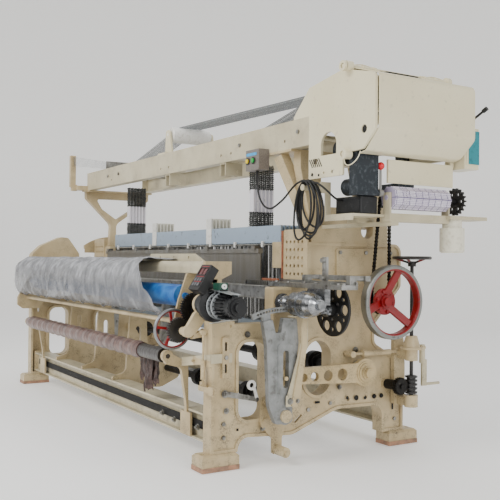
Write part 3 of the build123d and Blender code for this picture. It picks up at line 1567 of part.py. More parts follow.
with BuildPart() as control_cabinet:
    block((1823, 2032), (502, 689), (arm_top, arm_top + 12))
    block((1823, 2032), (502, 508), (arm_top - 18, arm_top + 12))
    block((1823, 1835), (502, 530), (arm_top, 1372))
    block((1823, 2010), (660, 668), (arm_top, 1290))
    block((1850, 1975), (control_box_front, 640), (arm_top + 12, 1300))
    block((outer - 5, 2075), (694, 740), (1166, 1184))
    block((1823, 1900), (640, 740), (1184, arm_top))
    block((2015, 2075), (689, 1062), (1184, 1222))
    block((1985, 2105), (1042, 1292), (arm_top, arm_top + 17))
    block((1653, 1835), (474, 488), (1340, 1358))
    block((1823, 1835), (474, 530), (1320, 1372))
    rod((coil_x, 430, peg_height), (coil_x, 480, peg_height), peg_radius)
    rod((coil_x, 428, peg_height), (coil_x, 434, peg_height), 15)
    for distance in (cylinder_ends[0] - 13, cylinder_ends[1] + 8):
        block((2022, 2068), (distance, distance + 10), (1215, pattern_height + 24))
        rod(
            (pattern_x, distance - 1, pattern_height), (pattern_x, distance + 11, pattern_height),
            card_shaft_radius + running_gap, Mode.SUBTRACT,
        )
write(control_cabinet.part, "control_cabinet")

with BuildPart() as pattern_cylinder:
    rod(
        (pattern_x, cylinder_ends[0], pattern_height), (pattern_x, cylinder_ends[1], pattern_height),
        pattern_radius,
    )
    rod(
        (pattern_x, cylinder_ends[0] - 16, pattern_height), (pattern_x, 1158, pattern_height),
        card_shaft_radius,
    )
    with BuildSketch(
        Plane(origin=(pattern_x, back(1127), pattern_height), x_dir=(1, 0, 0), z_dir=(0, 1, 0)),
    ):
        with BuildLine() as edge:
            gear_outline(18, 2 * (card_sprocket_radius - 6) / 18)
        make_face(edge.edges())
        with PolarLocations(40, 6):
            Circle(9, mode=Mode.SUBTRACT)
    extrude(amount=14)
    with BuildSketch(
        Plane(origin=(pattern_x, back(cylinder_ends[0]), pattern_height), x_dir=(1, 0, 0), z_dir=(0, 1, 0)),
    ):
        with PolarLocations(pattern_radius, 10):
            Circle(5)
    extrude(amount=pattern_length)
write(pattern_cylinder.part, "pattern_cylinder")

with BuildPart() as card_lever:
    rod((2035, 652, 1315), (2035, 672, 1315), 16)
    rod((2035, 664, 1315), (2035, 664, 1432), 6)
    with Locations((2035, back(664), 1440)):
        Sphere(18)
    rod((2035, 650, 1315), (2035, 674, 1315), 6 + running_gap, Mode.SUBTRACT)
write(card_lever.part, "card_lever")

with BuildPart() as oil_jar:
    rod((pattern_x, 1113, 1165), (pattern_x, 1113, arm_top), 48)
    rod((pattern_x, 1113, 1044), (pattern_x, 1113, 1165), jar_radius)
    chamfer(oil_jar.faces().sort_by(Axis.Z)[0].edges(), 8)
write(oil_jar.part, "oil_jar")

# Switch box under the front channel with its two sprung buttons

box_front = 437
button_radius = 12
button_spots = {"yellow_button": 1228, "green_button": 1284}

with BuildPart() as switch_box:
    block((1205, 1335), (box_front, arch_front_back), (1475, 1585))
    for x in button_spots.values():
        rod((x, box_front - 3, 1526), (x, box_front, 1526), button_radius + 6)
        rod(
            (x, box_front - 4, 1526), (x, box_front + 24, 1526), button_radius + running_gap,
            Mode.SUBTRACT,
        )
write(switch_box.part, "switch_box")

for label, x in button_spots.items():
    with BuildPart() as button:
        rod((x, box_front - 10, 1526), (x, box_front + 18, 1526), button_radius)
    write(button.part, label)

# Lead from the switch box to the hank hung on the hook arm

lead_radius = 5
hank_side = 1706
hank_right = 1796
lead_route = [
    (1270, 470, 1475), (1270, 470, 1405), (1290, 468, 1335), (1345, 465, 1280), (1415, 463, 1262),
    (1480, 461, 1283), (1545, 460, 1311), (1604, 458, 1350), (1655, 456, 1378), (hank_side, 456, 1378),
]
# From the hank the cable goes on past the arm into the control box
tail_route = [
    (hank_right, 454, 1368), (1826, 454, 1368), (1862, 462, 1346), (1886, 484, 1316), (1895, 520, 1284),
    (1895, control_box_front, 1284),
]


def cable_run(route):
    """A straight-and-arc line through the points, with an even bend at each corner."""
    points = [Vector(x, back(distance), z) for x, distance, z in route]
    bends = []
    for before, corner, after in zip(points, points[1:], points[2:]):
        turn = (corner - before).get_angle(after - corner)
        shorter_run = min((corner - before).length, (after - corner).length)
        bends.append(0.45 * shorter_run / tan(radians(turn / 2)))
    print("lead bend radii", [round(bend) for bend in bends])
    return FilletPolyline(*points, radius=bends)


with BuildPart() as lead_cable:
    lead_length = 0
    for route in (lead_route, tail_route):
        with BuildLine() as lead:
            cable_run(route)
        with BuildSketch(Plane(origin=lead.line @ 0, z_dir=lead.line % 0)) as lead_end:
            Circle(lead_radius)
        sweep(path=lead.line)
        lead_length += sum(edge.length for edge in lead.line.edges())
print("lead volume", lead_cable.part.volume, "of", lead_length * lead_end.sketch.area)
write(lead_cable.part, "lead_cable")

hank_front = 437
hank_thick = 33
hank_corners = [
    (hank_side, 1398), (hank_right, 1398), (hank_right, 1338), (1884, 1176), (1846, 1104), (1700, 1083),
    (1642, 1152), (hank_side, 1338),
]
with BuildPart() as cable_coil:
    with BuildSketch(Plane.XZ.offset(-back(hank_front))) as hank:
        with BuildLine():
            Polyline(*hank_corners, close=True)
        make_face()
        fillet(hank.vertices(), radius=14)
    extrude(amount=-hank_thick)
    fillet(cable_coil.faces().filter_by(Axis.Y).edges(), radius=9)
    rod(
        (coil_x, hank_front - 1, peg_height), (coil_x, hank_front + hank_thick + 1, peg_height),
        peg_radius + running_gap, Mode.SUBTRACT,
    )
write(cable_coil.part, "cable_coil")

# Covers outside the left frame: cream hood, arched guard and its disc

with BuildPart() as left_side_covers:
    hood = [
        (92, 905, 6), (92, 1030, 40), (170, 1105, 40), (330, 1176, 30), (395, 1172, 30),
        (492, 1040, 30), (492, 905, 6),
    ]
    hood_inside = [
        (96, 900, 0), (96, 1030, 36), (172, 1101, 36), (332, 1172, 26), (393, 1168, 26),
        (488, 1040, 26), (488, 900, 0),
    ]
    side_plate(-outer - 145, 90, hood)
    side_plate(-outer - 141, 82, hood_inside, mode=Mode.SUBTRACT)
    block((-outer - 56, -outer), (300, 340), (640, 690))
    block((-outer - 62, -outer - 55), (300, 340), (640, 960))
    with BuildSketch(side_plane(-outer - 80)) as guard:
        with Locations((back(777), 772)):
            Circle(416)
            Circle(392, mode=Mode.SUBTRACT)
        with Locations((back(777) + 100, 1300)):
            Rectangle(680, 500, mode=Mode.INTERSECT)
    extrude(guard.sketch, amount=26)
    with BuildSketch(side_plane(-outer - 58)) as guard_back:
        with Locations((back(777), 772)):
            Circle(400)
        with Locations((back(777) + 100, 1300)):
            Rectangle(680, 500, mode=Mode.INTERSECT)
    extrude(guard_back.sketch, amount=4)
    block((-outer - 56, -outer), (800, 860), (1069, 1090))
    block((-outer - 56, -outer), (1000, 1060), (1069, 1090))
    rod((-outer - 76, 860, 930), (-outer - 56, 860, 930), 130)
    block((-outer - 62, -outer - 52), (830, 890), (900, 1080))
write(left_side_covers.part, "left_side_covers")

# Hexagon bolts on the castings

bolt_head = 8
bolt_places = [
    (outer + cover_pad_raise, distance, height)
    for distance in (810, 982, 1154) for height in (885, 1045)
] + [
    (outer - frame_recess, distance, height)
    for distance, height in ((620, 240), (760, 262), (1200, 140), (125, 150), (125, 215))
] + [(outer + 8, leg_set_back + leg_width / 2 + 12, 534)]

with BuildPart() as frame_bolts:
    for x, distance, height in bolt_places:
        with BuildSketch(side_plane(x)):
            with Locations((back(distance), height)):
                RegularPolygon(11, 6)
        extrude(amount=bolt_head)
        with BuildSketch(side_plane(-x)):
            with Locations((back(distance), height)):
                RegularPolygon(11, 6)
        extrude(amount=-bolt_head)
    for x in (-982, -768, 1030, 1600):
        with BuildSketch(cross_plane(arch_front_back)):
            with Locations((x, 1642)):
                RegularPolygon(11, 6)
        extrude(amount=bolt_head)
write(frame_bolts.part, "frame_bolts")
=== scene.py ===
from math import acos, cos, pi, radians, sin, sqrt

import bmesh
import bpy
from mathutils import Matrix, Vector, noise


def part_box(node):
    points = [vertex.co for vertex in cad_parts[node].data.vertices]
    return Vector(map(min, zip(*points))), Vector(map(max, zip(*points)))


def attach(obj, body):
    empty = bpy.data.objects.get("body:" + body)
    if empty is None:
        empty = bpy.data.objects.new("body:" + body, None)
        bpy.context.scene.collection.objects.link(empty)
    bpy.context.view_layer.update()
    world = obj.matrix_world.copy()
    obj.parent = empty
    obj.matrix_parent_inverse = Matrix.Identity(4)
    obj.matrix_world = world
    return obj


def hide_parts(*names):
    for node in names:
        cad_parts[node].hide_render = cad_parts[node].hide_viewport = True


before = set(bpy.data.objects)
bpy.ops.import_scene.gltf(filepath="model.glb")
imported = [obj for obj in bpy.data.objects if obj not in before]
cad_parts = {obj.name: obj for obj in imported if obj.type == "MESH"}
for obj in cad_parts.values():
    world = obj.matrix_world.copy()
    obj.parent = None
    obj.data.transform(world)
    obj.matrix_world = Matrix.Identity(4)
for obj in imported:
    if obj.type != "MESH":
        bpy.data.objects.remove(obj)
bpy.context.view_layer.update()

# The loom stands with X across the cloth, Y from the cloth side to the back and Z up, in metres.
# A distance behind the front edge of the front pads is turned into Y by back().

FRONT_EDGE = -0.672


def back(distance):
    return FRONT_EDGE + distance


# Camera at the photograph's place: right front corner, a metre above the floor

view = bpy.data.cameras.new("view")
view.sensor_width = 36
view.lens = 56.69
view.clip_end = 60
camera = bpy.data.objects.new("view", view)
rightward = Vector((0.52038, 0.85388, 0.00958))
downward = Vector((-0.00598, 0.01487, -0.99987))
forward = Vector((-0.85391, 0.52026, 0.01284))
axes = Matrix((rightward, -downward, -forward)).transposed()
camera.matrix_world = Matrix.Translation((4.821, -2.407, 1.0)) @ axes.to_4x4()
bpy.context.scene.collection.objects.link(camera)
bpy.context.scene.camera = camera


# Finishes

MM = 0.001


def linear(hex_colour):
    """An sRGB hex colour as the linear one that the shaders use."""
    channels = [int(hex_colour[at:at + 2], 16) / 255 for at in (1, 3, 5)]
    return [c / 12.92 if c <= 0.04045 else ((c + 0.055) / 1.055) ** 2.4 for c in channels] + [1.0]


def add(tree, kind, settings=None, links=None):
    """Adds one shader node with its settings and its links."""
    made = tree.nodes.new("ShaderNode" + kind)
    for name, value in (settings or {}).items():
        if isinstance(name, str) and hasattr(made, name):
            setattr(made, name, value)
        else:
            made.inputs[name].default_value = value
    for name, output in (links or {}).items():
        tree.links.new(output, made.inputs[name])
    return made


def start(name, colour, roughness, metallic=0.0):
    """A material with its shader set, and the coordinates that its patterns read."""
    made = bpy.data.materials.new(name)
    made.use_nodes = True
    tree = made.node_tree
    shader = tree.nodes["Principled BSDF"]
    shader.inputs["Base Color"].default_value = linear(colour)
    shader.inputs["Roughness"].default_value = roughness
    shader.inputs["Metallic"].default_value = metallic
    place = add(tree, "TexCoord").outputs["Object"]
    return made, tree, shader, place


def cloudy(tree, place, size, low, high, detail=3.0, stretch=(1, 1, 1)):
    """A noise whose patches are about this many metres across, cut to 0..1 between low and high."""
    held = add(tree, "Mapping", {"Scale": stretch}, {"Vector": place}).outputs[0]
    patches = add(tree, "TexNoise", {"Scale": 1 / size, "Detail": detail}, {"Vector": held})
    return add(
        tree, "MapRange", {"From Min": low, "From Max": high}, {0: patches.outputs["Fac"]},
    ).outputs[0]


def blend(tree, amount, first, second):
    """A colour between two, each a hex value or a node's output."""
    mixed = add(tree, "Mix", {"data_type": "RGBA"}, {0: amount})
    for slot, colour in ((6, first), (7, second)):
        if isinstance(colour, str):
            mixed.inputs[slot].default_value = linear(colour)
        else:
            tree.links.new(colour, mixed.inputs[slot])
    return mixed.outputs[2]


def relief(tree, shader, height, depth):
    """Raises the surface by a height pattern of this many metres."""
    raised = add(tree, "Bump", {"Strength": 1.0, "Distance": depth}, {"Height": height})
    tree.links.new(raised.outputs[0], shader.inputs["Normal"])


def vary_roughness(tree, shader, amount, low, high):
    spread = add(tree, "MapRange", {"To Min": low, "To Max": high}, {0: amount})
    tree.links.new(spread.outputs[0], shader.inputs["Roughness"])


def cast_enamel(name, light, shade, dirt, dirt_from, roughness):
    """Brushed-on enamel over sand-cast iron: soft patches of tone, oily dirt that gathers in
    blotches and low down, and the casting's grain showing through the paint."""
    made, tree, shader, place = start(name, light, roughness)
    tone = cloudy(tree, place, 0.22, 0.35, 0.7)
    painted = blend(tree, tone, light, shade)
    # Dirt: blotches 60 mm wide broken up by specks of 7 mm, more of it near the floor
    blotches = cloudy(tree, place, 0.06, dirt_from, dirt_from + 0.2, 5.0)
    specks = cloudy(tree, place, 0.007, 0.38, 0.72, 2.0)
    smear = add(tree, "Math", {"operation": "MULTIPLY"}, {0: blotches, 1: specks}).outputs[0]
    height = add(tree, "SeparateXYZ", links={0: place}).outputs["Z"]
    low_down = add(
        tree, "MapRange", {"From Min": 0.75, "From Max": 0.0, "To Min": 0.35, "To Max": 0.85},
        {0: height},
    ).outputs[0]
    amount = add(tree, "Math", {"operation": "MULTIPLY"}, {0: smear, 1: low_down}).outputs[0]
    tree.links.new(blend(tree, amount, painted, dirt), shader.inputs["Base Color"])
    vary_roughness(tree, shader, tone, roughness - 0.06, roughness + 0.1)
    # Sand grain of 3 mm under a brush's drag of 12 mm, about a tenth of a millimetre deep
    grain = cloudy(tree, place, 0.003, 0.3, 0.7, 2.0)
    drag = cloudy(tree, place, 0.012, 0.2, 0.8, 2.0, (1, 1, 0.25))
    both = add(tree, "Math", {"operation": "ADD"}, {0: grain, 1: drag}).outputs[0]
    relief(tree, shader, both, 0.00012)
    return made


cream_enamel = cast_enamel("enamel_on_cast_iron", "#c9b791", "#b09c76", "#3d3327", 0.44, 0.42)
cleaner_enamel = cast_enamel("enamel_on_rolled_channel", "#c8bea2", "#b3a98d", "#4d4438", 0.5, 0.4)
worn_enamel = cast_enamel("enamel_worn_by_oil", "#cdb88c", "#a9946a", "#30281e", 0.4, 0.34)


def pressed_enamel():
    """Stove enamel on pressed sheet: smooth and even, with a faint wave and a trace of dust."""
    made, tree, shader, place = start("enamel_on_pressed_sheet", "#e2ddc8", 0.3)
    tone = cloudy(tree, place, 0.5, 0.3, 0.75)
    dust = cloudy(tree, place, 0.025, 0.62, 0.85, 4.0)
    painted = blend(tree, tone, "#e2dabb", "#d6cba8")
    tree.links.new(blend(tree, dust, painted, "#b8ad94"), shader.inputs["Base Color"])
    shader.inputs["Coat Weight"].default_value = 0.25
    shader.inputs["Coat Roughness"].default_value = 0.2
    wave = cloudy(tree, place, 0.18, 0.2, 0.8, 1.0)
    relief(tree, shader, wave, 0.0008)
    return made


def machined(name, light, dark, roughness, stretch, oil="#2a2520"):
    """Bare steel as it comes off a planer or lathe: fine parallel marks, a grey bloom, and films of
    old oil that darken it in patches."""
    made, tree, shader, place = start(name, light, roughness, 1.0)
    marks = cloudy(tree, place, 0.0016, 0.25, 0.75, 2.0, stretch)
    bloom = cloudy(tree, place, 0.05, 0.35, 0.7, 4.0)
    film = cloudy(tree, place, 0.03, 0.56, 0.78, 5.0)
    metal = blend(tree, bloom, light, dark)
    tree.links.new(blend(tree, film, metal, oil), shader.inputs["Base Color"])
    vary_roughness(tree, shader, marks, roughness - 0.08, roughness + 0.16)
    relief(tree, shader, marks, 0.00008)
    return made


planed_steel = machined("planed_bare_steel", "#b4b4b2", "#8a8984", 0.36, (0.06, 1, 1), "#4d4a44")
turned_steel = machined("turned_bare_steel", "#b4b3ae", "#85837d", 0.3, (1, 1, 0.2))
zinc_bolt = machined("zinc_plated_bolt", "#a5a49f", "#6f6d68", 0.4, (1, 1, 1), "#4a4236")
grey_casting = machined("ground_cast_iron", "#9a9c9c", "#7f8180", 0.5, (1, 0.3, 0.12), "#5a5852")
grey_casting.node_tree.nodes["Principled BSDF"].inputs["Metallic"].default_value = 0.55


def polished_casting():
    """Aluminium casting polished on a mop: bright, softly dented, with darker streaks in the hollows."""
    made, tree, shader, place = start("polished_aluminium_casting", "#c9cbce", 0.16, 1.0)
    streaks = cloudy(tree, place, 0.035, 0.42, 0.72, 4.0, (1, 0.5, 1))
    tree.links.new(blend(tree, streaks, "#a5a7aa", "#4f5053"), shader.inputs["Base Color"])
    vary_roughness(tree, shader, streaks, 0.22, 0.4)
    dents = cloudy(tree, place, 0.045, 0.2, 0.8, 2.0)
    relief(tree, shader, dents, 0.0016)
    return made


def black_iron(name, colour, worn, roughness, metallic, worn_from):
    """Oil-blackened iron or black paint: near black, rubbed to grey where hands and teeth pass."""
    made, tree, shader, place = start(name, colour, roughness, metallic)
    rubbed = cloudy(tree, place, 0.018, worn_from, worn_from + 0.22, 5.0)
    tree.links.new(blend(tree, rubbed, colour, worn), shader.inputs["Base Color"])
    vary_roughness(tree, shader, rubbed, roughness + 0.08, roughness - 0.1)
    skin = cloudy(tree, place, 0.004, 0.3, 0.7, 3.0)
    relief(tree, shader, skin, 0.0002)
    return made


black_gear = black_iron("oil_blackened_gear_iron", "#1c1a18", "#4b4741", 0.42, 0.6, 0.58)
black_wheel = black_iron("black_lacquered_wheel", "#141414", "#3a3a3a", 0.38, 0.1, 0.66)
motor_black = black_iron("black_ribbed_motor_paint", "#18191b", "#3b3d40", 0.36, 0.2, 0.6)
galvanised = machined("galvanised_sheet", "#c3c9cd", "#8f979c", 0.34, (1, 1, 1), "#6a6a64")
chain_black = black_iron("oiled_chain_steel", "#1a1817", "#5a554d", 0.3, 0.8, 0.55)
dark_works = black_iron("dark_oiled_dobby_iron", "#33383d", "#545a60", 0.42, 0.7, 0.52)
black_rubber = black_iron("black_rubber_sheath", "#111111", "#242424", 0.5, 0.0, 0.6)
keypad_plastic = black_iron("moulded_black_abs", "#131314", "#222224", 0.34, 0.0, 0.68)


def ringed(name, centre, axis, rings, metal_outside):
    """Paint and bare metal in rings round an axis, as on a wheel with a turned rim. rings is a
    list of (radius in metres, colour) from the middle outward."""
    made, tree, shader, place = start(name, rings[0][1], 0.36)
    keep = [0.0 if count == axis else 1.0 for count in range(3)]
    off = add(tree, "VectorMath", {"operation": "SUBTRACT", 1: centre}, {0: place}).outputs[0]
    flat = add(tree, "VectorMath", {"operation": "MULTIPLY", 1: keep}, {0: off}).outputs[0]
    radius = add(tree, "VectorMath", {"operation": "LENGTH"}, {0: flat}).outputs["Value"]
    colour, outside = rings[0][1], None
    for limit, next_colour in rings[1:]:
        outside = add(
            tree, "MapRange", {"From Min": limit - 0.0006, "From Max": limit + 0.0006}, {0: radius},
        ).outputs[0]
        colour = blend(tree, outside, colour, next_colour)
    scuffs = cloudy(tree, place, 0.02, 0.6, 0.8, 5.0)
    tree.links.new(blend(tree, scuffs, colour, "#4d4540"), shader.inputs["Base Color"])
    if metal_outside:
        tree.links.new(
            add(tree, "Math", {"operation": "MULTIPLY", 1: 0.85}, {0: outside}).outputs[0],
            shader.inputs["Metallic"],
        )
    vary_roughness(tree, shader, scuffs, 0.34, 0.55)
    relief(tree, shader, cloudy(tree, place, 0.006, 0.3, 0.7, 3.0), 0.0003)
    return made


# Red gloss enamel on the spokes, turned bare iron on the rims
flywheel_finish = ringed(
    "red_enamel_and_turned_rim", (0, back(1.020), 0.789), 0,
    [(0, "#86090f"), (0.172, "#8d8e8b")], True,
)
handwheel_finish = ringed(
    "red_enamel_and_chromed_rim", (0, back(-0.028), 0.655), 0,
    [(0, "#950c13"), (0.091, "#8b8d8f")], True,
)


def painted_along(finish, axis="X"):
    """A finish's tree, its shader, the place along an axis and the colour that it has so far."""
    tree = finish.node_tree
    shader = tree.nodes["Principled BSDF"]
    place = add(tree, "TexCoord").outputs["Object"]
    along = add(tree, "SeparateXYZ", links={0: place}).outputs[axis]
    return tree, shader, along, shader.inputs["Base Color"].links[0].from_socket


def beyond(tree, along, limit, kind="GREATER_THAN"):
    """1 where the place is past the limit, or before it with LESS_THAN, and 0 elsewhere."""
    return add(tree, "Math", {"operation": kind, 1: limit}, {0: along}).outputs[0]


def both_of(tree, first, second):
    return add(tree, "Math", {"operation": "MULTIPLY"}, {0: first, 1: second}).outputs[0]


def dark_beyond(finish, limit):
    """Past this X the piece is oil-blackened iron: the change gear behind the red spokes."""
    tree, shader, along, painted = painted_along(finish)
    past = beyond(tree, along, limit)
    tree.links.new(blend(tree, past, painted, "#26231f"), shader.inputs["Base Color"])


dark_beyond(handwheel_finish, 1.315)


def steel_before(finish, limit, dark_from, dark_to):
    """Up to this X the piece is a bare steel shaft, and between the next two a black sprocket."""
    tree, shader, along, painted = painted_along(finish)
    before = beyond(tree, along, limit, "LESS_THAN")
    toothed = both_of(
        tree, beyond(tree, along, dark_from), beyond(tree, along, dark_to, "LESS_THAN"),
    )
    shaft = blend(tree, before, painted, "#85847f")
    tree.links.new(blend(tree, toothed, shaft, "#201e1c"), shader.inputs["Base Color"])


steel_before(flywheel_finish, 1.61, 1.61, 1.637)
steel_before(handwheel_finish, 1.275, 1.315, 1.45)
let_off_finish = ringed(
    "red_enamel_and_black_rim", (1.656, back(1.215), 0), 2,
    [(0, "#1d1b1a"), (0.046, "#6e0f12"), (0.09, "#2a2624")], False,
)


def stepped(name, axis, bands, roughness, metallic=0.0, stain="#4b463e", stain_from=0.62):
    """Different finishes one above another along an axis: bands is a list of (from metres, colour)."""
    made, tree, shader, place = start(name, bands[0][1], roughness, metallic)
    along = add(tree, "SeparateXYZ", links={0: place}).outputs[axis]
    colour = bands[0][1]
    for limit, next_colour in bands[1:]:
        above = add(
            tree, "MapRange", {"From Min": limit - 0.0008, "From Max": limit + 0.0008}, {0: along},
        ).outputs[0]
        colour = blend(tree, above, colour, next_colour)
    stains = cloudy(tree, place, 0.03, stain_from, stain_from + 0.2, 5.0)
    tree.links.new(blend(tree, stains, colour, stain), shader.inputs["Base Color"])
    vary_roughness(tree, shader, cloudy(tree, place, 0.08, 0.3, 0.7), roughness - 0.05, roughness + 0.1)
    relief(tree, shader, cloudy(tree, place, 0.005, 0.3, 0.7, 2.0, (0.2, 1, 1)), 0.00015)
    return made


# Extruded aluminium staves with a blue-grey film of anodising, steel heddle strips between them,
# and black hanger wires above with white nylon blocks half way up
stave_finish = stepped(
    "anodised_stave_and_hangers", 2,
    [(0, "#8d9aa6"), (0.657, "#6f7173"), (1.098, "#9fb0c2"), (1.197, "#2b2c2b"), (1.28, "#e6e3ea"),
     (1.415, "#2b2c2b")],
    0.34, 0.35,
)


def comb_white():
    """The plastic combs on the staves are off-white above the metal: only near the middle of a
    frame, and only above the stave's top edge."""
    tree = stave_finish.node_tree
    shader = tree.nodes["Principled BSDF"]
    place = add(tree, "TexCoord").outputs["Object"]
    parts = add(tree, "SeparateXYZ", links={0: place})
    across = add(tree, "Math", {"operation": "ABSOLUTE"}, {0: parts.outputs["X"]}).outputs[0]
    middle = add(tree, "Math", {"operation": "LESS_THAN", 1: 0.6}, {0: across}).outputs[0]
    above = add(
        tree, "Math", {"operation": "GREATER_THAN", 1: 1.1965}, {0: parts.outputs["Z"]},
    ).outputs[0]
    comb = add(tree, "Math", {"operation": "MULTIPLY"}, {0: middle, 1: above}).outputs[0]
    metal = shader.inputs["Base Color"].links[0].from_socket
    tree.links.new(blend(tree, comb, metal, "#dedcd0"), shader.inputs["Base Color"])


comb_white()


def reed_finish():
    """Flat steel wires side by side in a bound frame: painted shade as a dark slit between each wire and the
    next, drawn 8 mm apart because the real 1 mm spacing is too fine to show."""
    made, tree, shader, place = start("reed_wires", "#8a8c8c", 0.35, 0.7)
    lines = add(
        tree, "TexWave", {"wave_type": "BANDS", "bands_direction": "X", "Scale": 0.314 / 0.008},
        {"Vector": place},
    ).outputs["Fac"]
    uneven = cloudy(tree, place, 0.05, 0.3, 0.7, 3.0, (1, 1, 0.1))
    # Painted shade in the slits between the wires, the wires' own grey between them
    wires = blend(tree, lines, "#5c5a55", "#a7a8a6")
    tree.links.new(blend(tree, uneven, wires, "#77726a"), shader.inputs["Base Color"])
    relief(tree, shader, lines, 0.001)
    return made


def film_finish():
    """Thin polyethylene sheet, blown and creased: cloudy where it is doubled along the top, grey and half
    clear lower down, with painted highlights on its creases and painted shade between them, and a soft shine."""
    made, tree, shader, place = start("creased_polyethylene_film", "#dfe1e5", 0.24)
    # Creases 50 mm apart, long along the slope of the folds, and crumples of 12 mm
    creases = cloudy(tree, place, 0.05, 0.4, 0.72, 5.0, (1, 1, 0.35))
    crumples = cloudy(tree, place, 0.012, 0.35, 0.7, 4.0)
    # Painted highlights and painted shade: the grey runs from dark between the folds to pale on the creases
    tree.links.new(blend(tree, creases, "#7f8083", "#b4b5b9"), shader.inputs["Base Color"])
    height = add(tree, "SeparateXYZ", links={0: place}).outputs["Z"]
    doubled = add(
        tree, "MapRange", {"From Min": 0.84, "From Max": 0.965, "To Min": 0.0, "To Max": 0.5},
        {0: height},
    ).outputs[0]
    cover = add(tree, "MapRange", {"To Min": 0.5, "To Max": 0.66}, {0: creases}).outputs[0]
    both = add(tree, "Math", {"operation": "ADD", "use_clamp": True}, {0: cover, 1: doubled}).outputs[0]
    tree.links.new(both, shader.inputs["Alpha"])
    shader.inputs["IOR"].default_value = 1.51
    rough = add(tree, "Math", {"operation": "ADD"}, {0: creases, 1: crumples}).outputs[0]
    relief(tree, shader, rough, 0.003)
    return made


def wrap_finish():
    """Brown stretch film wound over cloth: ridged and dull brown, in streaks that are partly dust on the
    crests and partly purple painted shade between them."""
    made, tree, shader, place = start("brown_stretch_film", "#5d4a45", 0.36)
    dust_and_painted_shade = cloudy(tree, place, 0.03, 0.4, 0.75, 5.0, (1, 0.4, 0.4))
    along = add(tree, "SeparateXYZ", links={0: place}).outputs["X"]
    bare = add(tree, "Math", {"operation": "GREATER_THAN", 1: 0.932}, {0: along}).outputs[0]
    # Dust and painted shade: the streaks run from purple-brown painted shade to a pale brown of dust
    wound = blend(tree, dust_and_painted_shade, "#4a2f2a", "#8a6b60")
    tree.links.new(blend(tree, bare, wound, "#26221f"), shader.inputs["Base Color"])
    shader.inputs["Coat Weight"].default_value = 0.4
    shader.inputs["Coat Roughness"].default_value = 0.3
    wrinkles = cloudy(tree, place, 0.012, 0.3, 0.7, 4.0, (1, 0.3, 0.3))
    relief(tree, shader, wrinkles, 0.0022)
    return made


def roller_rubber():
    """Blue rubber sleeve with a close-ribbed grip, slightly polished by the cloth, the polish painted as a
    sheen of lighter blue in patches.
    """
    made, tree, shader, place = start("blue_ribbed_rubber", "#1763b0", 0.42)
    ribs = add(
        tree, "TexWave", {"wave_type": "BANDS", "bands_direction": "X", "Scale": 0.314 / 0.006},
        {"Vector": place},
    ).outputs["Fac"]
    worn = cloudy(tree, place, 0.06, 0.4, 0.75, 4.0)
    # Lighter patches: wear, and a painted sheen where the cloth has polished the rubber
    tree.links.new(blend(tree, worn, "#1458a4", "#3a86cc"), shader.inputs["Base Color"])
    relief(tree, shader, ribs, 0.0005)
    return made


def pad_finish():
    """Brown plywood packing under a painted foot: layers 3 mm thick, darker at the glue lines."""
    made, tree, shader, place = start("plywood_packing", "#b88a6c", 0.7)
    plies = add(
        tree, "TexWave",
        {"wave_type": "BANDS", "bands_direction": "Z", "Scale": 0.314 / 0.006, "Distortion": 0.6},
        {"Vector": place},
    ).outputs["Fac"]
    dirt = cloudy(tree, place, 0.04, 0.4, 0.7, 4.0)
    wood = blend(tree, plies, "#9b6a50", "#c29a7c")
    tree.links.new(blend(tree, dirt, wood, "#7d6655"), shader.inputs["Base Color"])
    relief(tree, shader, plies, 0.0006)
    return made


def nylon(name, colour, shade, roughness):
    """Moulded plastic: a clean even colour, a little light inside it, faint handling marks."""
    made, tree, shader, place = start(name, colour, roughness)
    handled = cloudy(tree, place, 0.02, 0.5, 0.8, 4.0)
    tree.links.new(blend(tree, handled, colour, shade), shader.inputs["Base Color"])
    shader.inputs["Subsurface Weight"].default_value = 0.08
    shader.inputs["Subsurface Radius"].default_value = (0.004, 0.004, 0.004)
    relief(tree, shader, cloudy(tree, place, 0.01, 0.3, 0.7, 2.0), 0.0001)
    return made


white_nylon = nylon("white_nylon", "#ecebe6", "#cfcbc2", 0.4)
cream_jar = nylon("cream_lacquered_can", "#e0dcc9", "#c2bba4", 0.32)
green_cap = nylon("green_button_cap", "#12a63f", "#0b7a2e", 0.28)
yellow_cap = nylon("yellow_button_cap", "#e6c80e", "#b79d0a", 0.28)
blue_nylon = nylon("pale_blue_nylon", "#9cc3e2", "#6f9cc4", 0.35)
teal_paint = nylon("teal_enamel_panel", "#147f8a", "#0c5d66", 0.35)
label_blue = nylon("blue_printed_strip", "#2f9fd8", "#2381b4", 0.3)
display_red = nylon("red_display_window", "#5a1216", "#3a0a0d", 0.12)
# Near-black painted shade, for the pieces that stand for the shade inside slots, holes, cut-outs and channels
painted_slot_shade = black_iron("painted_shade_in_slots", "#0f0e0d", "#211f1c", 0.7, 0.0, 0.6)
board_brown = nylon("oil_stained_beech", "#9c5f43", "#5f3a2a", 0.5)
key_red = nylon("red_printed_strip", "#8e2226", "#5d1518", 0.35)
grey_key = nylon("grey_rubber_key", "#5c5d60", "#404144", 0.5)
green_block = nylon("dark_green_terminal_block", "#1d4a3a", "#12332a", 0.4)


def switch_finish():
    """Hammered brown-grey lacquer on a small sheet box."""
    made, tree, shader, place = start("hammered_grey_lacquer", "#77706a", 0.34, 0.2)
    pits = add(
        tree, "TexVoronoi", {"Scale": 1 / 0.006, "feature": "SMOOTH_F1"}, {"Vector": place},
    ).outputs["Distance"]
    tree.links.new(blend(tree, pits, "#857d76", "#5e5852"), shader.inputs["Base Color"])
    relief(tree, shader, pits, 0.0008)
    return made


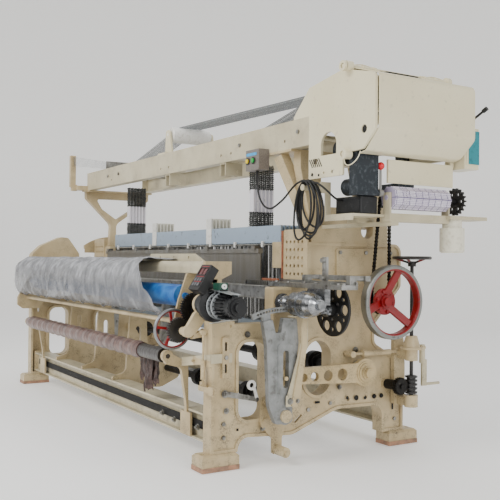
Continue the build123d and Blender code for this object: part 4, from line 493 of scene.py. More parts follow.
def thread_finish(name, light, dark, metallic):
    """Coated steel harness cords, laid close: a light grey broken by stray dark flecks where the coating has
    worn."""
    made, tree, shader, place = start(name, light, 0.4, metallic)
    flecks = cloudy(tree, place, 0.006, 0.42, 0.62, 3.0)
    tree.links.new(blend(tree, flecks, light, dark), shader.inputs["Base Color"])
    relief(tree, shader, flecks, 0.0006)
    return made


cord_finish = thread_finish("coated_harness_cord", "#a9adb0", "#6d7073", 0.3)
heddle_finish = thread_finish("flat_steel_heddle", "#8f8d88", "#4b4843", 0.75)
knit_finish = thread_finish("dark_spring_cord", "#6a6c69", "#1e1f1e", 0.3)


def card_finish():
    """White pattern card with rows of punched holes and lilac ruled lines, wound on a drum. Holes
    are 4 mm wide at 8 mm steps, and lines stand every 40 mm."""
    made, tree, shader, place = start("punched_pattern_card", "#e8e4ea", 0.5)
    centre = (2.045, 0, 1.295)
    off = add(tree, "VectorMath", {"operation": "SUBTRACT", 1: centre}, {0: place}).outputs[0]
    parts = add(tree, "SeparateXYZ", links={0: off})
    turn = add(
        tree, "Math", {"operation": "ARCTAN2"}, {0: parts.outputs["Z"], 1: parts.outputs["X"]},
    ).outputs[0]
    # The turn in metres round the drum's 50 mm radius
    round_it = add(tree, "Math", {"operation": "MULTIPLY", 1: 0.05}, {0: turn}).outputs[0]
    laid = add(tree, "CombineXYZ", links={0: round_it, 1: parts.outputs["Y"]}).outputs[0]
    rows = add(
        tree, "TexBrick",
        {"Scale": 1.0, "Brick Width": 0.008, "Row Height": 0.008, "Mortar Size": 0.0012,
         "Color1": linear("#f0ecf2"), "Color2": linear("#dcd5e2"), "Mortar": linear("#a79fb6"),
         "offset": 0.0},
        {"Vector": laid},
    ).outputs["Color"]
    lines = add(
        tree, "TexBrick",
        {"Scale": 1.0, "Brick Width": 0.5, "Row Height": 0.04, "Mortar Size": 0.0025,
         "Color1": linear("#ffffff"), "Color2": linear("#f2edf5"), "Mortar": linear("#8d86a8"),
         "offset": 0.0},
        {"Vector": laid},
    ).outputs["Color"]
    ruled = add(tree, "Mix", {"data_type": "RGBA", "blend_type": "MULTIPLY", 0: 1.0}, {6: rows, 7: lines})
    # Punched band at the front end
    band = add(
        tree, "TexVoronoi", {"Scale": 1 / 0.009, "feature": "F1", "Randomness": 0.35}, {"Vector": laid},
    ).outputs["Distance"]
    dots = add(tree, "MapRange", {"From Min": 0.3, "From Max": 0.2}, {0: band}).outputs[0]
    near = add(
        tree, "MapRange", {"From Min": back(0.80), "From Max": back(0.795)}, {0: parts.outputs["Y"]},
    ).outputs[0]
    far = add(
        tree, "MapRange", {"From Min": back(0.755), "From Max": back(0.76)}, {0: parts.outputs["Y"]},
    ).outputs[0]
    in_band = add(tree, "Math", {"operation": "MULTIPLY"}, {0: near, 1: far}).outputs[0]
    punched = add(tree, "Math", {"operation": "MULTIPLY"}, {0: dots, 1: in_band}).outputs[0]
    colour = blend(tree, punched, ruled.outputs[2], "#17151c")
    # The sprocket and shaft behind the card are black iron
    behind = add(
        tree, "MapRange", {"From Min": back(1.057), "From Max": back(1.058)}, {0: parts.outputs["Y"]},
    ).outputs[0]
    tree.links.new(blend(tree, behind, colour, "#1a1918"), shader.inputs["Base Color"])
    relief(tree, shader, band, 0.0004)
    return made


red_knob = stepped(
    "red_knob_on_a_steel_rod", 2, [(0, "#8b8a86"), (1.421, "#d6202c")], 0.24, 0.2,
)
film_plastic = film_finish()
brown_wrap = wrap_finish()


def strap_metal():
    """Galvanised straps round the black motor: two bands 7 mm wide."""
    half_width = 0.0036
    tree, shader, along, colour = painted_along(motor_black)
    for middle in (1.615, 1.655):
        off = add(tree, "Math", {"operation": "SUBTRACT", 1: middle}, {0: along}).outputs[0]
        far = add(tree, "Math", {"operation": "ABSOLUTE"}, {0: off}).outputs[0]
        near = beyond(tree, far, half_width, "LESS_THAN")
        colour = blend(tree, near, colour, "#a9aeb1")
    tree.links.new(colour, shader.inputs["Base Color"])


strap_metal()
smooth_enamel = pressed_enamel()
bright_aluminium = polished_casting()

node_finishes = {
    cream_enamel: [
        "right_side_frame", "left_side_frame", "centre_stands", "take_up_brackets",
        "cloth_roller_brackets", "left_arch_stand", "right_arch_stand", "let_off_housing",
        "left_side_covers", "heald_guides", "lever_bracket", "take_up_linkage",
    ],
    cleaner_enamel: [
        "front_lower_rail", "rear_lower_rail", "breast_beam", "arch_beam_front", "arch_beam_rear",
        "control_cabinet", "crank_handle",
    ],
    worn_enamel: ["connecting_rod"],
    smooth_enamel: ["dobby_cover", "dobby_frame"],
    planed_steel: ["sley", "rapier_rail"],
    turned_steel: ["crank_disc"],
    zinc_bolt: ["frame_bolts"],
    grey_casting: ["rapier_lever"],
    bright_aluminium: ["gear_casing"],
    black_gear: ["idler_gear", "worm_gear"],
    black_wheel: ["rapier_wheel", "left_rapier_wheel"],
    motor_black: ["take_up_motor"],
    chain_black: ["drive_chain"],
    dark_works: ["dobby_mechanism"],
    keypad_plastic: ["keypad_box"],
    flywheel_finish: ["flywheel"],
    handwheel_finish: ["take_up_handwheel"],
    let_off_finish: ["let_off_shaft"],
    stave_finish: [f"heald_frame_{number}" for number in range(1, 7)],
    reed_finish(): ["reed"],
    film_plastic: ["protective_film"],
    brown_wrap: ["cloth_roller"],
    roller_rubber(): ["take_up_roller"],
    pad_finish(): ["foot_pads"],
    white_nylon: ["guide_roller"],
    cream_jar: ["oil_jar"],
    green_cap: ["green_button"],
    yellow_cap: ["yellow_button"],
    red_knob: ["card_lever"],
    switch_finish(): ["switch_box"],
    cord_finish: ["harness_cords"],
    card_finish(): ["pattern_cylinder"],
    black_rubber: ["lead_cable", "cable_coil"],
}
for finish, names in node_finishes.items():
    for name in names:
        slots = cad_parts[name].data.materials
        slots.clear()
        slots.append(finish)


# Making pieces

def piece(name, body, finish, mesh):
    """Ends a bmesh as an object that moves with a body."""
    data = bpy.data.meshes.new(name)
    mesh.to_mesh(data)
    mesh.free()
    data.materials.append(finish)
    made = bpy.data.objects.new(name, data)
    bpy.context.scene.collection.objects.link(made)
    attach(made, body)
    return made


def slab(mesh, low, high, edge=0.0, turn=None):
    """A block between two corners, its edges rounded by edge, turned about its middle."""
    low, high = Vector(low), Vector(high)
    middle = Matrix.Translation((low + high) / 2)
    if turn:
        middle = middle @ turn
    size = Matrix.Diagonal((*(high - low), 1))
    made = bmesh.ops.create_cube(mesh, size=1, matrix=middle @ size)["verts"]
    if edge:
        lines = list({line for corner in made for line in corner.link_edges})
        bmesh.ops.bevel(
            mesh, geom=lines, offset=edge, segments=2, affect="EDGES", profile=0.5, material=-1,
        )


def drum(mesh, first, last, radius, end_radius=None, sides=28):
    """A cylinder or cone from one point to another."""
    first, last = Vector(first), Vector(last)
    turned = (last - first).to_track_quat("Z", "Y").to_matrix().to_4x4()
    bmesh.ops.create_cone(
        mesh, cap_ends=True, segments=sides, radius1=radius, depth=(last - first).length,
        radius2=radius if end_radius is None else end_radius,
        matrix=Matrix.Translation((first + last) / 2) @ turned,
    )


def at(x, distance, height):
    """A point in metres from millimetres across, behind the front edge and up."""
    return Vector((x * MM, back(distance * MM), height * MM))


# Lead from the switch box, hung in loops on the hook arm, its end run into the control box

def lead_points():
    route = [
        (1270, 470, 1475), (1270, 470, 1405), (1290, 468, 1335), (1345, 465, 1280),
        (1415, 463, 1262), (1480, 461, 1283), (1545, 460, 1311), (1604, 458, 1350),
        (1655, 453, 1374), (1700, 446, 1381),
    ]
    tail = [
        (1796, 457, 1369), (1826, 454, 1368), (1862, 462, 1346), (1886, 484, 1316), (1895, 520, 1284),
        (1895, 560, 1284),
    ]
    points = [at(*spot) for spot in route]
    # Loops over the hook arm, one behind another: (middle, half width, top, bottom, distance back,
    # how far the bottom swings to the right)
    loops = [
        (1744, 84, 1385, 1098, 434, -34), (1752, 96, 1383, 1114, 441, 44),
        (1746, 82, 1380, 1150, 448, -16), (1754, 100, 1386, 1130, 455, 30),
        (1748, 80, 1381, 1102, 462, 2), (1754, 90, 1384, 1158, 468, 52),
    ]
    steps = 16
    for number, loop in enumerate(loops):
        following = loops[min(number + 1, len(loops) - 1)]
        for step in range(steps):
            share = step / steps
            # The last part of a turn eases into the size of the next
            late = max(0.0, (share - 0.5) / 0.5)
            ease = late ** 2 * (3 - 2 * late)
            middle, half, top, bottom, distance, lean = (
                a + (b - a) * ease for a, b in zip(loop, following)
            )
            turn = 2 * pi * share
            fall = (1 - cos(turn)) / 2
            x = middle + lean * fall ** 1.5 + half * sin(turn) * (0.84 + 0.16 * fall)
            points.append(at(x, distance, top - (top - bottom) * fall))
    points.append(at(1756, 464, 1386))
    return points + [at(*spot) for spot in tail]


def cord_curve(name, points, radius, body, finish):
    """A smooth round cord along its points."""
    data = bpy.data.curves.new(name, "CURVE")
    data.dimensions = "3D"
    data.bevel_depth = radius
    data.bevel_resolution = 3
    data.resolution_u = 6
    data.use_fill_caps = True
    line = data.splines.new("NURBS")
    line.points.add(len(points) - 1)
    for spot, point in zip(line.points, points):
        spot.co = (*point, 1)
    line.order_u = 3
    line.use_endpoint_u = True
    data.materials.append(finish)
    made = bpy.data.objects.new(name, data)
    bpy.context.scene.collection.objects.link(made)
    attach(made, body)
    return made


lead_route = lead_points()
lead = cord_curve("switch_lead", lead_route, 0.005, "machine", black_rubber)
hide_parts("lead_cable", "cable_coil")


relief_piece = bmesh.new()
drum(relief_piece, at(1270, 470, 1475), at(1270, 470, 1444), 0.0085, 0.0058, sides=24)
for step in range(4):
    drum(relief_piece, at(1270, 470, 1471 - step * 7), at(1270, 470, 1468 - step * 7), 0.0095 - step * 0.0006)
piece("lead_relief", "machine", black_rubber, relief_piece)


# Shipping film over the breast beam: a sheet draped down in front of the take-up roller

film_fall = [
    (191, 996), (150, 996), (112, 996), (60, 997), (20, 994), (-8, 986), (-35, 969), (-56, 946),
    (-69, 918), (-75, 888), (-74, 850), (-70, 815), (-65, 790), (-56, 765), (-43, 745), (-26, 733),
    (-5, 725),
]


def along_fall(share):
    """The point of the film's fall at this share of its length, and the way that it faces."""
    runs = [
        sqrt((b[0] - a[0]) ** 2 + (b[1] - a[1]) ** 2) for a, b in zip(film_fall, film_fall[1:])
    ]
    left = share * sum(runs)
    for start_point, end_point, run in zip(film_fall, film_fall[1:], runs):
        if left <= run:
            break
        left -= run
    part = min(left / run, 1.0)
    distance = start_point[0] + (end_point[0] - start_point[0]) * part
    height = start_point[1] + (end_point[1] - start_point[1]) * part
    facing = Vector((0, start_point[1] - end_point[1], end_point[0] - start_point[0]))
    return distance, height, -facing.normalized()


def film_sheet():
    mesh = bmesh.new()
    bmesh.ops.create_grid(mesh, x_segments=300, y_segments=84, size=0.5)
    for corner in mesh.verts:
        share = 0.5 - corner.co.y
        distance, height, facing = along_fall(share)
        # The right edge was torn on a slant, further right lower down
        slant = max(0.0, min(1.0, (994 - height) / 270))
        right = 890 + 320 * slant + 16 * noise.noise(Vector((share * 9, 3.7, 0)))
        across = -1436 + (corner.co.x + 0.5) * (right + 1436)
        # Folds run down to the left: sharp ridges about 150 mm apart with softer ones between
        down = share * 470
        skew = (across + 0.95 * down) / 150
        ridge = 1 - abs(noise.noise(Vector((skew, down / 380, 1.3)))) * 3.2
        fine = 1 - abs(noise.noise(Vector((skew * 2.3 + down / 300, down / 150, 7.1)))) * 2.6
        swell = noise.noise(Vector((across / 260, down / 200, 4.4)))
        lift = 1.5 + 12 * max(ridge, 0.0) ** 3 + 4 * max(fine, 0.0) ** 3 + 6 * (swell + 0.5)
        hold = min(1.0, 0.45 + share * 1.6)
        spot = at(across, distance, height)
        corner.co = spot + facing * lift * hold * MM
    mesh.normal_update()
    return mesh


draped = film_sheet()
film_area = sum(face.calc_area() for face in draped.faces)
film = piece("shipping_film", "machine", film_plastic, draped)
for face in film.data.polygons:
    face.use_smooth = True
skin = film.modifiers.new("skin", "SOLIDIFY")
skin.thickness = 0.0004
skin.offset = 1
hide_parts("protective_film")


# Torn end of the brown wrapping, hanging behind the bare end of the cloth tube

def torn_finish():
    """The same stretch film torn into rags: darker, because it hangs in the roller's shade."""
    made, tree, shader, place = start("torn_brown_film", "#3a2722", 0.45)
    rubbed = cloudy(tree, place, 0.02, 0.45, 0.75, 4.0)
    tree.links.new(blend(tree, rubbed, "#33211d", "#5e463d"), shader.inputs["Base Color"])
    relief(tree, shader, cloudy(tree, place, 0.01, 0.3, 0.7, 3.0), 0.0015)
    return made


torn_film = torn_finish()


def torn_wrap():
    mesh = bmesh.new()
    for left, right, top, bottom, distance, seed in (
        (782, 905, 520, 352, 20, 1.0), (838, 975, 508, 300, 12, 5.0), (930, 1032, 500, 338, 24, 9.0),
    ):
        made = bmesh.ops.create_grid(mesh, x_segments=16, y_segments=26, size=0.5)["verts"]
        for corner in made:
            across, down = corner.co.x + 0.5, 0.5 - corner.co.y
            ragged = 1 + 0.22 * noise.noise(Vector((across * 4, seed, 0)))
            pinch = 1 - 0.25 * down + 0.3 * noise.noise(Vector((down * 3, seed, 2)))
            x = (left + right) / 2 + (across - 0.5) * (right - left) * pinch
            fold = 17 * noise.noise(Vector((across * 4.5, down * 1.8, seed)))
            fold += 8 * noise.noise(Vector((across * 9, down * 6, seed + 3)))
            corner.co = at(x, distance + fold, top - (top - bottom) * down * ragged)
    mesh.normal_update()
    return mesh


torn = torn_wrap()
torn_area = sum(face.calc_area() for face in torn.faces)
rag = piece("torn_wrapping", "cloth", torn_film, torn)
for face in rag.data.polygons:
    face.use_smooth = True
rag_skin = rag.modifiers.new("skin", "SOLIDIFY")
rag_skin.thickness = 0.0012
rag_skin.offset = 0


# Harness cords: a band of fine cords over the white roller and down to the hangers

def many_cords(name, lines, radius, body, finish, order=3):
    """Cords held at both ends, as one object of many thin splines."""
    data = bpy.data.curves.new(name, "CURVE")
    data.dimensions = "3D"
    data.bevel_depth = radius
    data.bevel_resolution = 1
    data.resolution_u = 4
    data.use_fill_caps = True
    for points in lines:
        line = data.splines.new("NURBS")
        line.points.add(len(points) - 1)
        for spot, point in zip(line.points, points):
            spot.co = (*point, 1)
        line.order_u = min(order, len(points))
        line.use_endpoint_u = True
    data.materials.append(finish)
    made = bpy.data.objects.new(name, data)
    bpy.context.scene.collection.objects.link(made)
    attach(made, body)
    return made


cord_rows = [642 + 5.5 * count for count in range(31)]
harness_lines = []
for count, distance in enumerate(cord_rows):
    rise = 2.2 * noise.noise(Vector((count * 0.9, 0, 0)))
    harness_lines.append([
        at(x, distance, z + rise) for x, z in (
            (1576, 1857), (700, 1882), (60, 1899), (-25, 1903), (-110, 1887), (-500, 1804),
            (-860, 1727), (-912, 1713), (-946, 1694), (-950, 1652),
        )
    ])
    harness_lines.append([
        at(x, distance, z + rise) for x, z in (
            (1576, 1845), (1300, 1793), (1005, 1735), (944, 1723), (904, 1700), (900, 1652),
        )
    ])
for count in range(8):
    harness_lines.append([at(-1481, 396, 1766 + count * 10), at(-1180, 640, 1722 + count * 7)])
harness = many_cords("harness_strands", harness_lines, 0.0014, "machine", cord_finish)
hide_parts("harness_cords")

harness_irons = bmesh.new()
for x in (-950, 900):
    slab(harness_irons, at(x - 26, 514, 1650), at(x + 26, 1040, 1658), 0.001)
    drum(harness_irons, at(x + 42, 514, 1681), at(x + 42, 1040, 1681), 0.012)
slab(harness_irons, at(-1184, 560, 1705), at(-1176, 1000, 1784), 0.001)
piece("harness_guides", "machine", zinc_bolt, harness_irons)

clips = bmesh.new()
for count in range(15):
    middle = 646 + count * 11.5
    slab(clips, at(1544, middle - 4, 1848), at(1582, middle + 4, 1866), 0.0015)
    slab(clips, at(1552, middle - 3, 1836), at(1576, middle + 3, 1848), 0.001)
piece("harness_clips", "machine", blue_nylon, clips)


# Drive chain: side plates in pairs over rollers, 19 mm apart

def chain_places(pitch):
    """Points and headings of the links round both sprockets, in the chain's plane."""
    low, low_radius = Vector((back(1.020), 0.789)), 0.0615
    high, high_radius = Vector((back(1.047), 1.330)), 0.0325
    reach = (high - low).length
    up = (high - low) / reach
    out = Vector((up.y, -up.x))
    lift = (low_radius - high_radius) / reach
    side = sqrt(1 - lift * lift)
    edges = []
    for sign in (1, -1):
        normal = out * side * sign + up * lift
        edges.append((low + normal * low_radius, high + normal * high_radius))
    straight = (edges[0][1] - edges[0][0]).length
    over = 2 * acos(max(-1.0, min(1.0, lift)))
    top_arc = over * high_radius
    low_arc = (2 * pi - over) * low_radius
    whole = 2 * straight + top_arc + low_arc
    count = round(whole / pitch)
    places = []
    for number in range(count):
        run = whole * number / count
        if run < straight:
            places.append(edges[0][0].lerp(edges[0][1], run / straight))
            continue
        run -= straight
        if run < top_arc:
            angle = run / high_radius
            normal = out * side + up * lift
            turned = Matrix.Rotation(angle, 2) @ normal
            places.append(high + turned * high_radius)
            continue
        run -= top_arc
        if run < straight:
            places.append(edges[1][1].lerp(edges[1][0], run / straight))
            continue
        run -= straight
        angle = run / low_radius
        normal = -out * side + up * lift
        turned = Matrix.Rotation(angle, 2) @ normal
        places.append(low + turned * low_radius)
    return places


def chain_links():
    mesh = bmesh.new()
    places = chain_places(0.019)
    for number, place in enumerate(places):
        following = places[(number + 1) % len(places)]
        run = (following - place).length
        step = 0.0 if number % 2 else 0.0013
        for x in (1.6196 - step, 1.6304 + step):
            for pin in (place, following):
                drum(
                    mesh, (x - 0.0006, pin.x, pin.y), (x + 0.0006, pin.x, pin.y), 0.0076, sides=10,
                )
            middle = (place + following) / 2
            lean = (following - place).angle_signed(Vector((1, 0)))
            slab(
                mesh, (x - 0.0005, middle.x - run / 2, middle.y - 0.0052),
                (x + 0.0005, middle.x + run / 2, middle.y + 0.0052),
                turn=Matrix.Rotation(lean, 4, "X"),
            )
        drum(mesh, (1.6192, place.x, place.y), (1.6308, place.x, place.y), 0.0055, sides=10)
        drum(mesh, (1.6170, place.x, place.y), (1.6330, place.x, place.y), 0.0028, sides=8)
    return mesh


links = piece("chain_links", "machine", chain_black, chain_links())
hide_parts("drive_chain")


# Heddles between the staves: flat wires in uneven bunches, drawn twice as wide as they are so
# that they show, and the spring cords of the hangers above

for number in range(1, 7):
    middle = 665 + 26 * (number - 1)
    wires = bmesh.new()
    count = 150
    for step in range(count):
        seed = Vector((step * 0.37, number * 3.1, 0.0))
        x = -1176 + 2352 * (step + 0.5) / count + 9 * noise.noise(seed * 2.3)
        bunch = noise.noise(Vector((x / 130, number * 1.7, 2.0)))
        if bunch < -0.28:
            continue
        lean = 3 * noise.noise(seed + Vector((0, 0, 5)))
        slab(wires, at(x - 0.9, middle - 1 + lean, 655), at(x + 0.9, middle + 0.4 + lean, 1100))
    piece(f"heddles_{number}", f"heald_{number}", heddle_finish, wires)

    springs = []
    for hanger in (-950, 900):
        for offset in (-26, -11, 6, 24):
            for low, high in ((1198, 1282), (1412, 1556)):
                steps = int((high - low) / 6)
                springs.append([
                    at(
                        hanger + offset + 2 * sin(step * 1.9 + number),
                        middle + (7 if step % 2 else -7) + 1.5 * sin(step * 0.7),
                        low + (high - low) * step / steps,
                    )
                    for step in range(steps + 1)
                ])
    many_cords(f"spring_cords_{number}", springs, 0.0024, f"heald_{number}", knit_finish)

front_of_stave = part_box("heald_frame_1")[0][1]
strips = bmesh.new()
for middle in (-446, 389):
    slab(
        strips, ((middle - 34) * MM, front_of_stave - 0.004, 1.099),
        ((middle + 34) * MM, front_of_stave - 0.0002, 1.263), 0.001,
    )
    # Teeth of the comb, 8 mm apart
    for step in range(8):
        x = (middle - 30 + step * 8) * MM
        slab(strips, (x, front_of_stave - 0.0055, 1.199), (x + 0.0035, front_of_stave - 0.004, 1.262))
piece("stave_combs", "heald_1", white_nylon, strips)

lease_bar = bmesh.new()
drum(
    lease_bar, (-1.19, front_of_stave - 0.0075, 1.088), (1.19, front_of_stave - 0.0075, 1.088), 0.005,
)
piece("lower_stave_bar", "heald_1", turned_steel, lease_bar)
pegs = bmesh.new()
for step in range(8):
    x = -1.124 + 0.3095 * step
    slab(
        pegs, (x - 0.009, front_of_stave - 0.015, 1.074), (x + 0.009, front_of_stave - 0.0005, 1.108),
        0.002,
    )
piece("stave_bar_pegs", "heald_1", white_nylon, pegs)


# Keypad: a red window with a black lip, and grey keys over the moulded ones

def onto_face(mesh, origin, across, up):
    """Moves what was drawn flat onto a face: X goes across it, Y up it and Z out of it."""
    across, up = Vector(across).normalized(), Vector(up).normalized()
    turned = Matrix((across, up, across.cross(up))).transposed().to_4x4()
    bmesh.ops.transform(mesh, matrix=Matrix.Translation(origin) @ turned, verts=mesh.verts)


lean_back = radians(33)
keypad_origin = at(1548, -51.5, 861)
keypad_up = (0, sin(lean_back), cos(lean_back))
window = bmesh.new()
slab(window, (-0.034, 0.081, -0.0028), (0.034, 0.119, -0.0008), 0.0008)
onto_face(window, keypad_origin, (1, 0, 0), keypad_up)
piece("keypad_window", "machine", display_red, window)
lip = bmesh.new()
for low, high in (
    ((-0.039, 0.0785, 0), (0.039, 0.0815, 0.0022)), ((-0.039, 0.1185, 0), (0.039, 0.1215, 0.0022)),
    ((-0.039, 0.0815, 0), (-0.0355, 0.1185, 0.0022)), ((0.0355, 0.0815, 0), (0.039, 0.1185, 0.0022)),
    ((-0.0015, 0.0815, -0.001), (0.0015, 0.1185, 0.0012)),
):
    slab(lip, low, high, 0.0006)
onto_face(lip, keypad_origin, (1, 0, 0), keypad_up)
piece("keypad_lip", "machine", keypad_plastic, lip)
keys = bmesh.new()
for column in (-24, 0, 24):
    for row in (29, 55):
        slab(
            keys, ((column - 8.8) * MM, (row - 8.8) * MM, 0.0002),
            ((column + 8.8) * MM, (row + 8.8) * MM, 0.0042), 0.0018,
        )
onto_face(keys, keypad_origin, (1, 0, 0), keypad_up)
piece("keypad_keys", "machine", grey_key, keys)
labels = bmesh.new()
for row in (72, 44.5, 128):
    slab(labels, (-0.036, (row - 2.2) * MM, 0.0001), (0.036, (row + 2.2) * MM, 0.0006))
onto_face(labels, keypad_origin, (1, 0, 0), keypad_up)
piece("keypad_strips", "machine", key_red, labels)


# Places that several pieces share, in mm: a pair is (distance back, height)

frame_face = 1545
motor_axis = (50, 786)
handwheel_axis = (-28, 655)
idler_axis = (59.4, 759.2)
cover_bar = (2003, 1880)

# Helpers for plates, rings and bolts

def plate(mesh, first, last, corners):
    """A flat plate between two X values in mm, its outline in (distance back, height)."""
    made = [mesh.verts.new(at(first, *corner)) for corner in corners]
    face = mesh.faces.new(made)
    grown = bmesh.ops.extrude_face_region(mesh, geom=[face])["geom"]
    moved = [part for part in grown if isinstance(part, bmesh.types.BMVert)]
    bmesh.ops.translate(mesh, vec=((last - first) * MM, 0, 0), verts=moved)


def ring(mesh, centre, axis, inner, outer, depth, steps=36):
    """A flat ring: a small section spun round its axis, from the centre along the axis."""
    centre, axis = Vector(centre), Vector(axis).normalized()
    side = axis.orthogonal().normalized()
    spots = [(inner, 0), (outer, 0), (outer, depth), (inner, depth)]
    made = [mesh.verts.new(centre + side * r + axis * along) for r, along in spots]
    edges = [mesh.edges.new((made[k], made[(k + 1) % 4])) for k in range(4)]
    bmesh.ops.spin(
        mesh, geom=made + edges, cent=centre, axis=axis, angle=2 * pi, steps=steps, use_merge=True,
        use_duplicate=False,
    )


def closed(mesh):
    bmesh.ops.remove_doubles(mesh, verts=mesh.verts, dist=0.00001)
    bmesh.ops.recalc_face_normals(mesh, faces=mesh.faces)
    return mesh


def bolt(mesh, place, axis, size):
    """Washer, hexagon head and the stud's end, size being half the head's width in metres."""
    place, axis = Vector(place), Vector(axis).normalized()
    drum(mesh, place, place + axis * 0.0022, size * 1.45, sides=22)
    drum(mesh, place + axis * 0.0022, place + axis * (0.0022 + size * 0.8), size * 1.12, sides=6)
    drum(
        mesh, place + axis * (0.0022 + size * 0.8), place + axis * (0.004 + size * 1.25), size * 0.55,
        sides=14,
    )


# Right-hand bracket of the take-up gears, opened up into arms and bosses as the casting is, with
# the left plate, inner plate and guide rod kept from the solid

def kept_left(node, limit):
    """A copy of a node's shape, cut off past this X in metres."""
    mesh = bmesh.new()
    mesh.from_mesh(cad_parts[node].data)
    bmesh.ops.remove_doubles(mesh, verts=mesh.verts, dist=0.00001)
    spare = [face for face in mesh.faces if min(corner.co.x for corner in face.verts) > limit]
    bmesh.ops.delete(mesh, geom=spare, context="FACES")
    return mesh


bracket = kept_left("take_up_brackets", 1.43)
arms = bmesh.new()
plate(arms, 1440, 1465, [(60, 992), (205, 992), (205, 930), (150, 905), (150, 862), (60, 905)])
plate(arms, 1440, 1465, [(84, 905), (128, 905), (104, 826), (62, 826)])
plate(arms, 1440, 1465, [(92, 812), (104, 770), (60, 706), (6, 640), (-34, 632), (-48, 660), (4, 742)])
plate(arms, 1442, 1463, [(4, 640), (56, 668), (56, 628), (-10, 620)])
for (distance, height), size in ((motor_axis, 48), (handwheel_axis, 27), (idler_axis, 30)):
    drum(arms, at(1438, distance, height), at(1468, distance, height), size * MM, sides=40)
drum(arms, at(1400, *handwheel_axis), at(1438, *handwheel_axis), 0.02, sides=28)
closed(arms)
bare_arms = bpy.data.meshes.new("arms")
arms.to_mesh(bare_arms)
arms.free()
bracket.from_mesh(bare_arms)
open_bracket = piece("take_up_castings", "machine", cream_enamel, bracket)
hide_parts("take_up_brackets")

# Sheet-metal covers over the motor, its end disc and the terminal block above it

covers = bmesh.new()
plate(covers, 1588, 1592, [(14, 848), (92, 862), (92, 859), (14, 845)])
slab(covers, at(1586, 16, 852), at(1790, 66, 854.5), 0.0008, Matrix.Rotation(radians(5), 4, "Y"))
slab(covers, at(1590, 12, 716), at(1776, 60, 718.5), 0.0008, Matrix.Rotation(radians(-9), 4, "Y"))
slab(covers, at(1586, 64, 820), at(1772, 66.5, 856), 0.0008, Matrix.Rotation(radians(5), 4, "Y"))
piece("motor_covers", "machine", galvanised, closed(covers))
end_disc = bmesh.new()
ring(end_disc, at(1776, *motor_axis), (1, 0, 0), 0.012, 0.05, 0.012)
for step in range(16):
    turned = 2 * pi * step / 16
    spot = at(1782, *motor_axis) + Vector((0, cos(turned), sin(turned))) * 0.05
    drum(end_disc, spot - Vector((0.005, 0, 0)), spot + Vector((0.005, 0, 0)), 0.004, sides=8)
piece("motor_end_disc", "machine", motor_black, closed(end_disc))
nut = bmesh.new()
ring(nut, at(1802, *motor_axis), (1, 0, 0), 0.007, 0.0135, 0.006)
piece("motor_end_nut", "machine", galvanised, closed(nut))
block = bmesh.new()
slab(block, at(1600, 28, 861), at(1664, 72, 893), 0.002)
for step in range(4):
    slab(block, at(1606 + step * 14, 26.4, 868), at(1615 + step * 14, 28.4, 886), 0.0006)
piece("terminal_block", "machine", green_block, block)
gland = bmesh.new()
ring(gland, at(1664.2, 50, 877), (1, 0, 0), 0.004, 0.0125, 0.007)
piece("terminal_gland", "machine", white_nylon, closed(gland))

# Nuts and bolts of the right-hand side frame, with the keyhole slots of its front post and the frame's other
# holes and slots painted black as painted shade

side_bolts = bmesh.new()
for distance, height, size in (
    (129, 359, 13), (137, 278, 10), (251, 639, 11), (921, 531, 11), (816, 341, 9), (343, 176, 10),
):
    bolt(side_bolts, at(frame_face + 0.2, distance, height), (1, 0, 0), size * MM)
for x, height in ((937, 171), (1083, 161), (1349, 170)):
    bolt(side_bolts, at(x, 89.6, height), (0, -1, 0), 0.011)
piece("side_frame_bolts", "machine", zinc_bolt, closed(side_bolts))
# Painted shade: black inlays standing for the shade inside the keyholes, holes and slots of the side frame
slots = bmesh.new()
for middle in (597, 490):
    drum(
        slots, at(frame_face - 0.4, 134, middle + 12), at(frame_face + 0.9, 134, middle + 12), 0.0095,
        sides=20,
    )
    slab(slots, at(frame_face - 0.4, 129, middle - 32), at(frame_face + 0.7, 139, middle + 34), 0.0003)
for distance, height, size in ((870, 281, 9), (930, 276, 14), (990, 271, 9)):
    drum(
        slots, at(frame_face - 0.4, distance, height), at(frame_face + 0.6, distance, height),
        size * MM, sides=22,
    )
slab(slots, at(frame_face - 0.4, 1177, 192), at(frame_face + 0.6, 1188, 230), 0.0003)
slab(slots, at(frame_face - 0.4, 660, 268), at(frame_face + 0.6, 690, 280), 0.0003)
slab(slots, at(frame_face - 0.4, 194, 176), at(frame_face + 0.6, 206, 188), 0.0003)
for distance in (1052, 1102):
    drum(slots, at(frame_face, distance, 274), at(1552, distance, 274), 0.013, 0.009, sides=24)
piece("side_frame_slot_shade", "machine", painted_slot_shade, slots)
slot_plate = bmesh.new()
for low, high in ((620, 633), (439, 453)):
    slab(slot_plate, at(frame_face, 115, low), at(frame_face + 4, 154, high), 0.001)
slab(slot_plate, at(frame_face, 115, 453), at(frame_face + 4, 121, 620), 0.001)
slab(slot_plate, at(frame_face, 148, 453), at(frame_face + 4, 154, 620), 0.001)
piece("slot_plate_rim", "machine", cream_enamel, slot_plate)

# Flat strap round the front post, and the clamp strip beside the swinging lever

